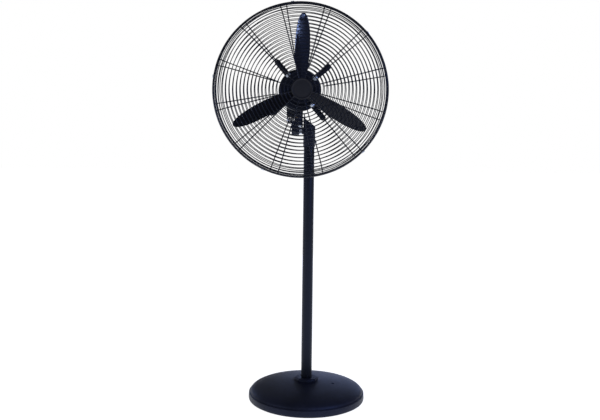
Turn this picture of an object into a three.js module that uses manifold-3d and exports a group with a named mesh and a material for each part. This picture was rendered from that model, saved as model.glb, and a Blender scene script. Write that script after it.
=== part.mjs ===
// A pedestal fan of the 26 in class: a cast base, a tube pole, a tilting neck, a swinging wire-guarded
// head with its motor and oscillation drive, and a three-blade rotor. Millimetres, +Z up, front to -Y,
// origin on the floor under the pole.
import * as THREE from "three";
import { mergeVertices } from "three/addons/utils/BufferGeometryUtils.js";
import Module from "manifold-3d";

const wasm = await Module();
wasm.setup();

// Clearances
const GAP = 0.3; // between two faces that rest on each other
const FIT = 0.35; // round a shaft or a screw in its hole

// Base
const BASE_R = 260; // widest radius of the side wall, just above the floor
const BASE_FOOT_R = BASE_R - 1; // radius of the side wall at the floor
const FOOT_ROUND = 6;
const RIDGE_R = BASE_R - 7; // crease between the side wall and the dome
const RIDGE_Z = 33;
const RIDGE_ROUND = 3; // from the side wall's straight part up to the crease
const DOME_RISE = 51; // from the crease to the middle
const BASE_WALL = 5.5;
const SOCKET_WALL = 14; // round the pole, under the dome
const SOCKET_FLOOR_Z = 40;
const SOCKET_FLOOR = 10;
const PAD_R = BASE_R - 8;
const PAD_H = 3;
const COLLAR_R = 54.5;
const COLLAR_H = 13;
const COLLAR_CHAMFER = 5;

// Height of the tilt pivot; every height above the base follows it
const TILT_Z = 1210;

// Pole
const POLE_R = 24.15; // a 48.3 mm tube
const POLE_WALL = 2.6;
const POLE_TOP_Z = TILT_Z - 25;
const PLUG_H = 16;
const BASE_BOLT_R = 6;

// Post head on top of the pole
const POST_WALL = 2.6;
const POST_BOTTOM_Z = TILT_Z - 72;
const POST_LOW_Z = TILT_Z + 19; // top edge on the right
const POST_HIGH_Z = TILT_Z + 62; // top edge on the left
const CLAMP_Z = TILT_Z - 50;
const CLAMP_R = 4;

// Tilt pivot, along X
const TILT_BOLT_R = 8;
const TILT_BOSS_R = 16;
const TILT_BOSS_OUT = 6; // how far the boss stands out of the post head
const TILT_STACK = 12.7; // washer and jam nut between the boss and the neck's lug
const TILT_WASHER = 3;
const LUG_R = 19;
const LUG_W = 33.7;

// Neck and king pin, along Z
const NECK_R = 19;
const NECK_CLEAR = 2.9; // between the post head and the neck's column
const HEAD_X = -(POLE_R + FIT + POST_WALL + NECK_CLEAR + NECK_R);
const HEAD_Z = TILT_Z + 180;
const NECK_LOW_Z = TILT_Z + 16;
const NECK_TOP_Z = TILT_Z + 58;
const NECK_FLOOR = 4; // under the king pin
const KING_R = 8;
const KING_IN_FOOT = 26;
const THRUST_H = 4;
const NECK_SCREW_Z = TILT_Z + 24;
const NECK_SCREW_X = 5; // right of the king pin

// Motor, along Y
const MOTOR_R = 93;
const MOTOR_WALL = 4;
const MOTOR_FACE_Y = -141;
const BELL_SEAM_Y = -92;
const REAR_SEAM_Y = -46;
const MOTOR_BACK_Y = 20;
const BELL_PLATE = 6;
const STATOR_IN_R = MOTOR_R - 35;
const STATOR_LENGTH = 34;
const ROTOR_GAP = 0.8;
const WINDING_SLOTS = 6;
const COIL_LENGTH = 13;
const BEARING_R = 26;
const BEARING_W = 13;
const SHAFT_R = 10;
const SHAFT_TAIL_R = 5;

// Blades and hub
const BLADE_Y = -234;
const BLADE_COUNT = 3;
const BLADE_PHASE = 1.4; // degrees from straight up
const RIM_R = 375; // of the guard
const BLADE_TIP_R = RIM_R - 48;
const BLADE_ROOT_R = 40;
const BLADE_WIDE_R = 165; // where the blade is widest
const BLADE_WIDTH = 66; // there, seen from the front
const BLADE_NARROWING = 0.42; // share of the width lost towards the root
const BLADE_CAMBER = 0.05; // of the chord
const BLADE_TIP_W = 9;
const BLADE_T = 2.5;
const PITCH_ROOT = 32; // degrees
const PITCH_TIP = 19;
const HUB_R = 28;
const HUB_L = 34;
const TONGUE_R = 98;
const TONGUE_W = 30;
const TONGUE_T = 5;
const TONGUE_GAP = 5; // room behind the blade for its camber
const HUB_NUT_R = 17;
const HUB_NUT_L = 12;
const HUB_NUT_COLLAR_R = HUB_R - 4;
const HUB_NUT_COLLAR = 3;

// Guards
const RIM_WIRE = 6;
const RIM_Y = -205; // where the two rims meet
const WIRE = 4;
const SPOKE_IN = 3.6; // from the rings' line in to the middle of a spoke
const FRONT_Y = -340;
const FRONT_INNER_R = 43;
const FRONT_BEND_R = RIM_R - 75;
const FRONT_PITCH = 15.5;
const REAR_INNER_R = MOTOR_R + 13;
const REAR_BEND_R = RIM_R - 53;
const REAR_PITCH = 16;
const RING_STEP = 3; // every third ring is modelled as a solid
const SPOKES = 12;
const FRONT_SPOKE_PHASE = 15;
const REAR_SPOKE_PHASE = 20;
const CLIP_ANGLES = [49, 134, 205, 278, 354];
const CLIP_W = 14;
const CLIP_WALL = 2;
const BADGE_R = 45;
const BADGE_H = 5;

// Guard arms
const ARM_PHASE = 50;
const ARM_COUNT = 4;
const ARM_W = 24;
const ARM_T = 4;
const ARM_CORNER_R = 8;
const ARM_SCREW_RING_R = MOTOR_R - 9;
const ARM_IN_R = ARM_SCREW_RING_R - ARM_W / 2;
const ARM_OUT_R = RIM_R - 208;
const BOSS_R = 12;
const BOSS_OUT = 2;
const ARM_SCREW_R = 4;
const ARM_SCREW_HEAD_R = 8.5;
const ARM_SCREW_HEAD = 4;
const ARM_WASHER_R = BOSS_R - 1;
const ARM_WASHER = 2;

// Oscillation drive; its wheel stands left of the motor shaft
const WHEEL_X = -27;
const WHEEL_Y = 60;
const WORM_R = 8.2;
const WHEEL_TEETH = 24;
const WHEEL_T = 12;
const CRANK_SHAFT_R = 6;
const CRANK_R = 20;
const CRANK_DISC_R = 26;
const CRANK_DISC_T = 5.5;
const LINK_PIN_X = -36; // from the king pin
const LINK_PIN_R = 5;
const LINK_ARM_Z = TILT_Z + 35;
const LINK_ARM_T = 8;
const LINK_T = 6;
const LINK_W = 13;
const BOX_WALL = 4;
const GEARBOX_TOP = 34; // above the motor shaft
const GEARBOX_STEP = -40;
const GEARBOX_HALF_W = 26;
const GEARBOX_RIGHT = 18;
const GEARBOX_BACK_Y = 88;
const GEARBOX_LOW_FRONT_Y = 33;
const GEARBOX_FLOOR = 7;
const LID_T = 4;
const CLUTCH_R = 11;
const CLUTCH_H = 20;
const CLUTCH_STEM_R = 5;

// Switch box, right of the gearbox
const SWITCH_W = 50;
const SWITCH_H = 90;
const SWITCH_D = 42;
const SWITCH_LOW = -46;
const SWITCH_WALL = 3;
const KNOB_R = 15;
const KNOB_H = 16;
const KNOB_STEM_R = 4;
const KNOB_UP = 64; // above the box's floor
const GLAND_R = 9;
const GLAND_H = 22;

const RAD = Math.PI / 180;
const FINE = 36; // facets round a large turned piece; the guards need a multiple of twelve
const ROUND = 28; // round the motor
const MEDIUM = 24;
const COARSE = 12;

const paint = (color, roughness, metalness) =>
  new THREE.MeshStandardMaterial({ color, roughness, metalness });
const CAST_BLACK = paint(0x15161b, 0.55, 0.3);
const POLE_BLACK = paint(0x101116, 0.4, 0.3);
const WIRE_BLACK = paint(0x0e0f13, 0.45, 0.4);
const BLADE_BLACK = paint(0x12141b, 0.3, 0.4);
const ZINC = paint(0xb9c0cc, 0.35, 0.9);
const STEEL = paint(0x8d9096, 0.35, 0.9);
const LAMINATED = paint(0x5c5f66, 0.5, 0.8);
const COPPER = paint(0x9c4f22, 0.4, 0.9);
const BRONZE = paint(0xa8874a, 0.4, 0.8);
const RUBBER = paint(0x0b0b0c, 0.9, 0);
const PLASTIC = paint(0x17181b, 0.5, 0);
const WHITE_PLASTIC = paint(0xd9d8d2, 0.5, 0);

// A closed solid from a geometry whose shared corners are merged.
function solid(geometry) {
  const bare = geometry.index ? geometry.toNonIndexed() : geometry.clone();
  bare.deleteAttribute("normal");
  bare.deleteAttribute("uv");
  const merged = mergeVertices(bare, 1e-4);
  const triangles = [];
  for (let i = 0; i < merged.index.count; i += 3) {
    const [a, b, c] = merged.index.array.slice(i, i + 3);
    if (a !== b && b !== c && c !== a) triangles.push(a, b, c);
  }
  return new wasm.Manifold(
    new wasm.Mesh({
      numProp: 3,
      vertProperties: merged.attributes.position.array,
      triVerts: new Uint32Array(triangles),
    }),
  );
}

// The geometry of a solid.
function skin(body) {
  const mesh = body.getMesh();
  const geometry = new THREE.BufferGeometry();
  const corners = new Float32Array(mesh.vertProperties);
  geometry.setAttribute("position", new THREE.BufferAttribute(corners, 3));
  geometry.setIndex(new THREE.BufferAttribute(new Uint32Array(mesh.triVerts), 1));
  geometry.computeVertexNormals();
  return geometry;
}

const join = (...bodies) => bodies.reduce((all, next) => all.add(next));
const cut = (body, ...tools) => tools.reduce((left, tool) => left.subtract(tool), body);

// AXES[axis] takes a shape drawn in XY and extruded along Z to stand along that axis.
const AXES = {
  x: new THREE.Matrix4().makeBasis(vec(0, 1, 0), vec(0, 0, 1), vec(1, 0, 0)),
  y: new THREE.Matrix4().makeBasis(vec(1, 0, 0), vec(0, 0, 1), vec(0, -1, 0)),
  z: new THREE.Matrix4(),
};

function vec(x, y, z) {
  return new THREE.Vector3(x, y, z);
}

// A turned solid: profile points are [radius, height], anticlockwise, and height runs along the axis.
function turned(profile, axis, facets = MEDIUM, at = [0, 0, 0]) {
  const points = profile.map(([r, h]) => new THREE.Vector2(r, h));
  const geometry = new THREE.LatheGeometry(points, facets);
  if (axis === "z") geometry.rotateX(Math.PI / 2);
  if (axis === "x") geometry.rotateZ(-Math.PI / 2);
  geometry.translate(...at);
  return solid(geometry);
}

const rod = (r, from, to, axis, facets, at) =>
  turned([[0, from], [r, from], [r, to], [0, to]], axis, facets, at);

const ring = (inner, outer, from, to, axis, facets, at) =>
  turned(
    [[inner, from], [outer, from], [outer, to], [inner, to], [inner, from]],
    axis,
    facets,
    at,
  );

// A six-sided prism; r is the radius to its flats.
const hex = (r, from, to, axis, at) => rod(r / Math.cos(30 * RAD), from, to, axis, 6, at);

function block(x0, x1, y0, y1, z0, z1) {
  const geometry = new THREE.BoxGeometry(x1 - x0, y1 - y0, z1 - z0);
  geometry.translate((x0 + x1) / 2, (y0 + y1) / 2, (z0 + z1) / 2);
  return solid(geometry);
}

// A flat plate from an outline, its near face at `from` along the axis.
function plate(shape, thickness, axis, from, curveSegments = 6) {
  const geometry = new THREE.ExtrudeGeometry(shape, {
    depth: thickness,
    bevelEnabled: false,
    curveSegments,
  });
  geometry.applyMatrix4(AXES[axis]);
  const offset = axis === "y" ? from + thickness : from;
  geometry.translate(
    axis === "x" ? offset : 0,
    axis === "y" ? offset : 0,
    axis === "z" ? offset : 0,
  );
  return solid(geometry);
}

// A strip with round ends from (0, low) to (0, high).
function strip(width, low, high) {
  const shape = new THREE.Shape();
  const r = width / 2;
  shape.absarc(0, high - r, r, 0, Math.PI, false);
  shape.absarc(0, low + r, r, Math.PI, 2 * Math.PI, false);
  shape.closePath();
  return shape;
}

// A rectangle with round corners.
function roundedBox(x0, x1, z0, z1, r) {
  const shape = new THREE.Shape();
  shape.absarc(x1 - r, z0 + r, r, -Math.PI / 2, 0, false);
  shape.absarc(x1 - r, z1 - r, r, 0, Math.PI / 2, false);
  shape.absarc(x0 + r, z1 - r, r, Math.PI / 2, Math.PI, false);
  shape.absarc(x0 + r, z0 + r, r, Math.PI, 1.5 * Math.PI, false);
  shape.closePath();
  return shape;
}

function add(parent, name, body, material) {
  const mesh = new THREE.Mesh(skin(body), material);
  mesh.name = name;
  parent.add(mesh);
  return mesh;
}

const fan = new THREE.Group();
const head = new THREE.Group();
head.position.set(HEAD_X, 0, HEAD_Z);
fan.add(head);

// --- Stand ---------------------------------------------------------------------------------------

const BASE_BOTTOM = PAD_H + GAP;
const domeZ = (r) => RIDGE_Z + DOME_RISE * (1 - (r / RIDGE_R) ** 1.5) ** 0.45;
const COLLAR_FOOT_Z = domeZ(0);
const poleHole = () => POLE_R + FIT;

function makeBase() {
  const stops = [0.97, 0.86, 0.7, 0.5, 0.28];
  const inside = RIDGE_R - BASE_WALL;
  const outer = [[0, BASE_BOTTOM], [BASE_FOOT_R, BASE_BOTTOM], [BASE_R, BASE_BOTTOM + FOOT_ROUND]];
  outer.push([BASE_FOOT_R, RIDGE_Z - RIDGE_ROUND], [RIDGE_R, RIDGE_Z]);
  stops.forEach((s) => outer.push([s * RIDGE_R, domeZ(s * RIDGE_R)]));
  outer.push([COLLAR_R + 4, COLLAR_FOOT_Z - 1], [0, COLLAR_FOOT_Z - 1]);
  const hollow = [[0, 0], [inside, 0], [inside, RIDGE_Z - BASE_WALL]];
  stops.forEach((s) => hollow.push([s * inside, domeZ(s * RIDGE_R) - BASE_WALL]));
  hollow.push([0, COLLAR_FOOT_Z - BASE_WALL]);
  const socketR = poleHole() + SOCKET_WALL;
  const socketLow = SOCKET_FLOOR_Z - SOCKET_FLOOR;
  const body = cut(turned(outer, "z", FINE), turned(hollow, "z", FINE));
  const socket = rod(socketR, socketLow, COLLAR_FOOT_Z - 2, "z", MEDIUM);
  return cut(
    join(body, socket),
    rod(poleHole(), SOCKET_FLOOR_Z, COLLAR_FOOT_Z + 1, "z"),
    rod(BASE_BOLT_R + FIT, socketLow - 1, SOCKET_FLOOR_Z + 1, "z", COARSE),
  );
}

function makeCollar() {
  const low = COLLAR_FOOT_Z - 1 + GAP;
  const high = low + COLLAR_H;
  const top = COLLAR_R - COLLAR_CHAMFER;
  const profile = [[0, low], [COLLAR_R, low], [COLLAR_R, high - COLLAR_CHAMFER], [top, high]];
  profile.push([0, high]);
  const body = turned(profile, "z", 8);
  return cut(body, rod(poleHole(), low - 1, high + 1, "z"));
}

function makePlug() {
  const low = SOCKET_FLOOR_Z + GAP;
  const hole = rod(BASE_BOLT_R + FIT, low - 1, low + PLUG_H + 1, "z", COARSE);
  return cut(rod(POLE_R - POLE_WALL - FIT, low, low + PLUG_H, "z"), hole);
}

function makeBaseBolt() {
  const seat = SOCKET_FLOOR_Z - SOCKET_FLOOR - GAP;
  const shank = rod(BASE_BOLT_R, seat - 1, SOCKET_FLOOR_Z + PLUG_H, "z", COARSE);
  const washer = rod(3 * BASE_BOLT_R, seat - 3, seat, "z", COARSE);
  return join(shank, washer, hex(1.6 * BASE_BOLT_R, seat - 11, seat - 2.5, "z"));
}

add(fan, "floor_pad", rod(PAD_R, 0, PAD_H, "z", FINE), RUBBER);
add(fan, "base_casting", makeBase(), CAST_BLACK);
add(fan, "foot_collar", makeCollar(), CAST_BLACK);
add(fan, "pole_plug", makePlug(), STEEL);
add(fan, "base_bolt", makeBaseBolt(), STEEL);
add(
  fan,
  "pole_tube",
  ring(POLE_R - POLE_WALL, POLE_R, SOCKET_FLOOR_Z + GAP, POLE_TOP_Z, "z"),
  POLE_BLACK,
);

const POST_IN_R = poleHole();
const POST_R = POST_IN_R + POST_WALL;
const BOSS_FACE_X = -(POST_R + TILT_BOSS_OUT);
const LUG_RIGHT_X = BOSS_FACE_X - TILT_STACK - 2 * GAP;
const LUG_LEFT_X = LUG_RIGHT_X - LUG_W;
const tiltAt = [0, 0, TILT_Z];

function makePostHead() {
  const tube = ring(POST_IN_R, POST_R, POST_BOTTOM_Z, POST_HIGH_Z + 10, "z");
  const boss = rod(TILT_BOSS_R, BOSS_FACE_X, -(POST_IN_R - 5), "x", MEDIUM, tiltAt);
  const slant = new THREE.Shape();
  slant.moveTo(-POST_R - 1, POST_HIGH_Z);
  slant.lineTo(POST_R + 1, POST_LOW_Z);
  slant.lineTo(POST_R + 1, POST_HIGH_Z + 20);
  slant.lineTo(-POST_R - 1, POST_HIGH_Z + 20);
  slant.closePath();
  return cut(
    join(tube, boss),
    plate(slant, 4 * POST_R, "y", -2 * POST_R),
    rod(TILT_BOLT_R + FIT, BOSS_FACE_X - 1, 0, "x", COARSE, tiltAt),
    rod(CLAMP_R + FIT, 0, POST_R + 1, "x", COARSE, [0, 0, CLAMP_Z]),
  );
}

function makeClampScrew() {
  const at = [0, 0, CLAMP_Z];
  const shank = rod(CLAMP_R, POLE_R + GAP, POST_R + 2, "x", COARSE, at);
  return join(shank, hex(1.6 * CLAMP_R, POST_R + GAP, POST_R + 7, "x", at));
}

const HEAD_L = 8; // length of the tilt bolt's head
const NUT_L = 10;
const nutFrom = -(POST_IN_R - 5) + GAP;

function makeTiltBolt() {
  const seat = LUG_LEFT_X + HEAD_L;
  const shank = rod(TILT_BOLT_R, seat - 1, nutFrom + NUT_L + 4, "x", COARSE, tiltAt);
  return join(shank, hex(1.4 * TILT_BOLT_R, seat - HEAD_L, seat, "x", tiltAt));
}

const nut = (r, from, to) =>
  cut(
    hex(r, from, to, "x", tiltAt),
    rod(TILT_BOLT_R + FIT, from - 1, to + 1, "x", COARSE, tiltAt),
  );

add(fan, "post_head", makePostHead(), CAST_BLACK);
add(fan, "post_clamp_screw", makeClampScrew(), ZINC);
add(fan, "tilt_bolt", makeTiltBolt(), ZINC);
add(fan, "tilt_nut", nut(1.4 * TILT_BOLT_R, nutFrom, nutFrom + NUT_L), STEEL);
add(
  fan,
  "tilt_jam_nut",
  nut(1.65 * TILT_BOLT_R, LUG_RIGHT_X + 2 * GAP + TILT_WASHER, BOSS_FACE_X - GAP),
  ZINC,
);
add(
  fan,
  "tilt_washer",
  ring(
    TILT_BOLT_R + FIT,
    TILT_BOSS_R,
    LUG_RIGHT_X + GAP,
    LUG_RIGHT_X + GAP + TILT_WASHER,
    "x",
    MEDIUM,
    tiltAt,
  ),
  ZINC,
);

// --- Neck ----------------------------------------------------------------------------------------

const kingAt = [HEAD_X, 0, 0];
const FOOT_LOW_Z = NECK_TOP_Z + THRUST_H + 2 * GAP;
const linkX = HEAD_X + LINK_PIN_X;
const NECK_FRONT = NECK_R - 2; // half depth of the block under the column

function makeNeckBlock() {
  const lug = rod(LUG_R, LUG_LEFT_X, LUG_RIGHT_X, "x", MEDIUM, tiltAt);
  const cheek = block(LUG_LEFT_X, LUG_RIGHT_X, -NECK_FRONT, NECK_FRONT, TILT_Z, LINK_ARM_Z + 4);
  const bridge = block(
    LUG_LEFT_X,
    HEAD_X + NECK_R - 1,
    -NECK_FRONT,
    NECK_FRONT,
    NECK_LOW_Z,
    LINK_ARM_Z + 4,
  );
  const column = rod(NECK_R, NECK_LOW_Z, NECK_TOP_Z, "z", MEDIUM, kingAt);
  const armTop = LINK_ARM_Z + LINK_ARM_T;
  const arm = block(linkX, HEAD_X, -LINK_W, LINK_W, LINK_ARM_Z, armTop);
  const armEnd = rod(LINK_W, LINK_ARM_Z, armTop, "z", COARSE, [linkX, 0, 0]);
  const seat = LUG_LEFT_X + HEAD_L + GAP;
  const screwAt = [HEAD_X + NECK_SCREW_X, 0, NECK_SCREW_Z];
  return cut(
    join(lug, cheek, bridge, column, arm, armEnd),
    rod(KING_R + FIT, NECK_LOW_Z + NECK_FLOOR, NECK_TOP_Z + 1, "z", MEDIUM, kingAt),
    rod(TILT_BOLT_R + FIT, LUG_LEFT_X - 1, LUG_RIGHT_X + 1, "x", MEDIUM, tiltAt),
    rod(1.8 * TILT_BOLT_R, LUG_LEFT_X - 1, seat, "x", MEDIUM, tiltAt),
    rod(LINK_PIN_R + FIT, LINK_ARM_Z - 1, armTop + 1, "z", COARSE, [linkX, 0, 0]),
    rod(CLAMP_R + FIT, -NECK_R - 1, -KING_R, "y", COARSE, screwAt),
  );
}

function makeNeckScrew() {
  const at = [HEAD_X + NECK_SCREW_X, 0, NECK_SCREW_Z];
  const face = -NECK_R - GAP;
  const shank = rod(CLAMP_R, face - 1, -KING_R - FIT - GAP, "y", COARSE, at);
  return join(
    shank,
    rod(2 * CLAMP_R, face - 1.5, face, "y", COARSE, at),
    hex(1.6 * CLAMP_R, face - 6, face - 1, "y", at),
  );
}

function makeLinkPin() {
  const at = [linkX, 0, 0];
  const top = LINK_ARM_Z + LINK_ARM_T + LINK_T + 2 * GAP;
  return join(
    rod(LINK_PIN_R, LINK_ARM_Z, top + 1, "z", COARSE, at),
    rod(1.6 * LINK_PIN_R, top, top + 2, "z", COARSE, at),
  );
}

// The rod's far eye lies just under the crank pin, the pivot where the linkage is opened.
const crankPinX = HEAD_X + WHEEL_X - CRANK_R;
const LINK_Z = LINK_ARM_Z + LINK_ARM_T + GAP;

function makeLinkRod() {
  const dx = crankPinX - linkX;
  const length = Math.hypot(dx, WHEEL_Y);
  const eyes = cut(
    plate(strip(LINK_W, -LINK_W / 2, length + LINK_W / 2), LINK_T, "z", LINK_Z),
    rod(LINK_PIN_R + FIT, LINK_Z - 1, LINK_Z + LINK_T + 1, "z", COARSE),
    rod(LINK_PIN_R - 1, LINK_Z - 1, LINK_Z + LINK_T + 1, "z", COARSE, [0, length, 0]),
  );
  const mesh = add(fan, "link_rod", eyes, STEEL);
  mesh.position.set(linkX, 0, 0);
  mesh.rotation.z = Math.atan2(-dx, WHEEL_Y);
}

add(fan, "neck_block", makeNeckBlock(), CAST_BLACK);
add(
  fan,
  "king_pin",
  rod(KING_R, NECK_LOW_Z + NECK_FLOOR + GAP, FOOT_LOW_Z + KING_IN_FOOT, "z", MEDIUM, kingAt),
  STEEL,
);
add(
  fan,
  "thrust_washer",
  ring(
    KING_R + FIT,
    NECK_R - 1,
    NECK_TOP_Z + GAP,
    NECK_TOP_Z + GAP + THRUST_H,
    "z",
    MEDIUM,
    kingAt,
  ),
  BRONZE,
);
add(fan, "king_pin_screw", makeNeckScrew(), ZINC);
add(fan, "link_pin", makeLinkPin(), STEEL);
makeLinkRod();

// --- Motor ---------------------------------------------------------------------------------------

const BOSS_FACE_Y = MOTOR_FACE_Y - BOSS_OUT;
const screwRing = (i) => (ARM_PHASE + (i * 360) / ARM_COUNT) * RAD;
const polar = (r, angle) => [r * Math.sin(angle), 0, r * Math.cos(angle)];
const INNER_R = MOTOR_R - MOTOR_WALL;
const SEAT_R = BEARING_R + FIT;
const SEAT_WALL = 6;
const SCREW_DEPTH = 20;

function makeFrontBell() {
  const plateBack = MOTOR_FACE_Y + BELL_PLATE;
  const seatBack = plateBack + BEARING_W;
  const bore = SHAFT_R + 1;
  const profile = [[bore, MOTOR_FACE_Y], [MOTOR_R - 4, MOTOR_FACE_Y]];
  profile.push([MOTOR_R, MOTOR_FACE_Y + 4], [MOTOR_R, BELL_SEAM_Y], [INNER_R, BELL_SEAM_Y]);
  profile.push([INNER_R, plateBack], [SEAT_R + SEAT_WALL, plateBack]);
  profile.push([SEAT_R + SEAT_WALL, seatBack], [SEAT_R, seatBack], [SEAT_R, plateBack]);
  profile.push([bore, plateBack], [bore, MOTOR_FACE_Y]);
  let bell = turned(profile, "y", ROUND);
  for (let i = 0; i < ARM_COUNT; i++) {
    const at = polar(ARM_SCREW_RING_R, screwRing(i));
    const boss = rod(BOSS_R, BOSS_FACE_Y, BOSS_FACE_Y + SCREW_DEPTH + 4, "y", COARSE, at);
    bell = join(bell, boss);
  }
  for (let i = 0; i < ARM_COUNT; i++) {
    const at = polar(ARM_SCREW_RING_R, screwRing(i));
    const hole = rod(
      ARM_SCREW_R + FIT,
      BOSS_FACE_Y - 1,
      BOSS_FACE_Y + SCREW_DEPTH,
      "y",
      COARSE,
      at,
    );
    bell = cut(bell, hole);
  }
  return bell;
}

function makeRearBell() {
  const plateFront = MOTOR_BACK_Y - BELL_PLATE;
  const seatFront = plateFront - BEARING_W;
  const bore = SHAFT_R + 1;
  const profile = [[bore, MOTOR_BACK_Y], [bore, plateFront], [SEAT_R, plateFront]];
  profile.push([SEAT_R, seatFront], [SEAT_R + SEAT_WALL, seatFront]);
  profile.push([SEAT_R + SEAT_WALL, plateFront], [INNER_R, plateFront], [INNER_R, REAR_SEAM_Y]);
  profile.push([MOTOR_R, REAR_SEAM_Y], [MOTOR_R, MOTOR_BACK_Y - 4]);
  profile.push([MOTOR_R - 4, MOTOR_BACK_Y], [bore, MOTOR_BACK_Y]);
  const shell = turned(profile, "y", ROUND);
  const footLow = FOOT_LOW_Z - HEAD_Z;
  const foot = rod(NECK_R, footLow, -INNER_R + 6, "z", MEDIUM);
  const rib = block(-7, 7, REAR_SEAM_Y + 6, 0, footLow + 8, -INNER_R - 1);
  const pinHole = rod(KING_R + FIT, footLow - 1, footLow + KING_IN_FOOT + GAP, "z");
  return cut(join(shell, foot, rib), pinHole);
}

const STATOR_MID = (BELL_SEAM_Y + REAR_SEAM_Y) / 2;
const STATOR_FROM = STATOR_MID - STATOR_LENGTH / 2;
const STATOR_TO = STATOR_MID + STATOR_LENGTH / 2;
const COIL_IN_R = STATOR_IN_R + 6;
const COIL_OUT_R = INNER_R - 8;
const COIL_MID_R = (COIL_IN_R + COIL_OUT_R) / 2;
const SLOT_W = 9;

// A bar through the stator for each slot, grown on every side by `grow`.
function slotBars(grow, from, to) {
  const bars = [];
  for (let i = 0; i < WINDING_SLOTS; i++) {
    const half = SLOT_W / 2 + grow;
    const bar = new THREE.BoxGeometry(2 * half, to - from, 2 * half);
    bar.translate(0, (from + to) / 2, COIL_MID_R);
    bar.rotateY((i * 2 * Math.PI) / WINDING_SLOTS);
    bars.push(solid(bar));
  }
  return bars;
}

function makeStator() {
  const core = ring(STATOR_IN_R, INNER_R - GAP, STATOR_FROM, STATOR_TO, "y", ROUND);
  return cut(core, ...slotBars(GAP, STATOR_FROM - 1, STATOR_TO + 1));
}

function makeWinding() {
  const front = STATOR_FROM - GAP;
  const back = STATOR_TO + GAP;
  return join(
    ring(COIL_IN_R, COIL_OUT_R, front - COIL_LENGTH, front, "y"),
    ring(COIL_IN_R, COIL_OUT_R, back, back + COIL_LENGTH, "y"),
    ...slotBars(0, front - 2, back + 2),
  );
}

const FRONT_BEARING_Y = MOTOR_FACE_Y + BELL_PLATE + GAP;
const REAR_BEARING_Y = MOTOR_BACK_Y - BELL_PLATE - GAP - (BEARING_W - 1);
const bearing = (from) =>
  ring(SHAFT_R + FIT, BEARING_R, from, from + BEARING_W - 1, "y", MEDIUM);

add(head, "motor_front_bell", makeFrontBell(), CAST_BLACK);
add(
  head,
  "motor_shell",
  ring(INNER_R, MOTOR_R, BELL_SEAM_Y + GAP, REAR_SEAM_Y - GAP, "y", ROUND),
  CAST_BLACK,
);
add(head, "motor_rear_bell", makeRearBell(), CAST_BLACK);
add(head, "stator_core", makeStator(), LAMINATED);
add(head, "stator_winding", makeWinding(), COPPER);
add(head, "bearing_front", bearing(FRONT_BEARING_Y), STEEL);
add(head, "bearing_rear", bearing(REAR_BEARING_Y), STEEL);

// --- Rotor ---------------------------------------------------------------------------------------

const HUB_FRONT_Y = BLADE_Y - HUB_L / 2;
const HUB_BACK_Y = BLADE_Y + HUB_L / 2;
const WHEEL_R = -WHEEL_X - WORM_R - 0.5;
const WORM_THREADS = 6;

// The tail of the shaft is cut as a worm beside the oscillation wheel.
function makeShaft() {
  const pitch = (2 * Math.PI * WHEEL_R) / WHEEL_TEETH;
  const half = (pitch * WORM_THREADS) / 2;
  const front = HUB_FRONT_Y - HUB_NUT_L - GAP;
  const profile = [[0, front], [SHAFT_R - 2, front], [SHAFT_R - 2, HUB_FRONT_Y - GAP]];
  profile.push([SHAFT_R, HUB_FRONT_Y], [SHAFT_R, MOTOR_BACK_Y], [SHAFT_TAIL_R, MOTOR_BACK_Y + 2]);
  for (let i = 0; i < WORM_THREADS; i++) {
    const from = WHEEL_Y - half + i * pitch;
    profile.push([WORM_R - 2.4, from], [WORM_R, from + 0.35 * pitch]);
    profile.push([WORM_R, from + 0.65 * pitch]);
  }
  const end = WHEEL_Y + half;
  profile.push([SHAFT_TAIL_R, end], [SHAFT_TAIL_R, end + 8], [0, end + 8]);
  return turned(profile, "y", COARSE);
}

// Seen from the front, the blade is widest at BLADE_WIDE_R, narrower to the root, and round at the tip.
function bladeWidth(r) {
  if (r < BLADE_WIDE_R) {
    const inwards = (BLADE_WIDE_R - r) / (BLADE_WIDE_R - BLADE_ROOT_R);
    return BLADE_WIDTH * (1 - BLADE_NARROWING * inwards ** 1.3);
  }
  const outwards = (r - BLADE_WIDE_R) / (BLADE_TIP_R - BLADE_WIDE_R);
  return BLADE_WIDTH * Math.sqrt(Math.max(1 - outwards ** 2.7, 0));
}

const bladePitch = (r) => {
  const along = (r - BLADE_ROOT_R) / (BLADE_TIP_R - BLADE_ROOT_R);
  return (PITCH_ROOT + (PITCH_TIP - PITCH_ROOT) * along) * RAD;
};

// A box bent into the blade: x runs along the chord, y through the thickness, z out along the span.
function makeBlade() {
  const geometry = new THREE.BoxGeometry(1, 1, 1, 4, 1, 12);
  const corner = geometry.attributes.position;
  for (let i = 0; i < corner.count; i++) {
    const across = corner.getX(i);
    const along = 1 - (0.5 - corner.getZ(i)) ** 1.7;
    const r = BLADE_ROOT_R + along * (BLADE_TIP_R - BLADE_ROOT_R);
    const pitch = bladePitch(r);
    const chord = Math.max(bladeWidth(r), BLADE_TIP_W) / Math.cos(pitch);
    const c = across * chord;
    const n = corner.getY(i) * BLADE_T + BLADE_CAMBER * chord * (1 - (2 * across) ** 2);
    corner.setXYZ(
      i,
      c * Math.cos(pitch) - n * Math.sin(pitch),
      BLADE_Y + c * Math.sin(pitch) + n * Math.cos(pitch),
      r,
    );
  }
  return solid(geometry);
}

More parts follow.
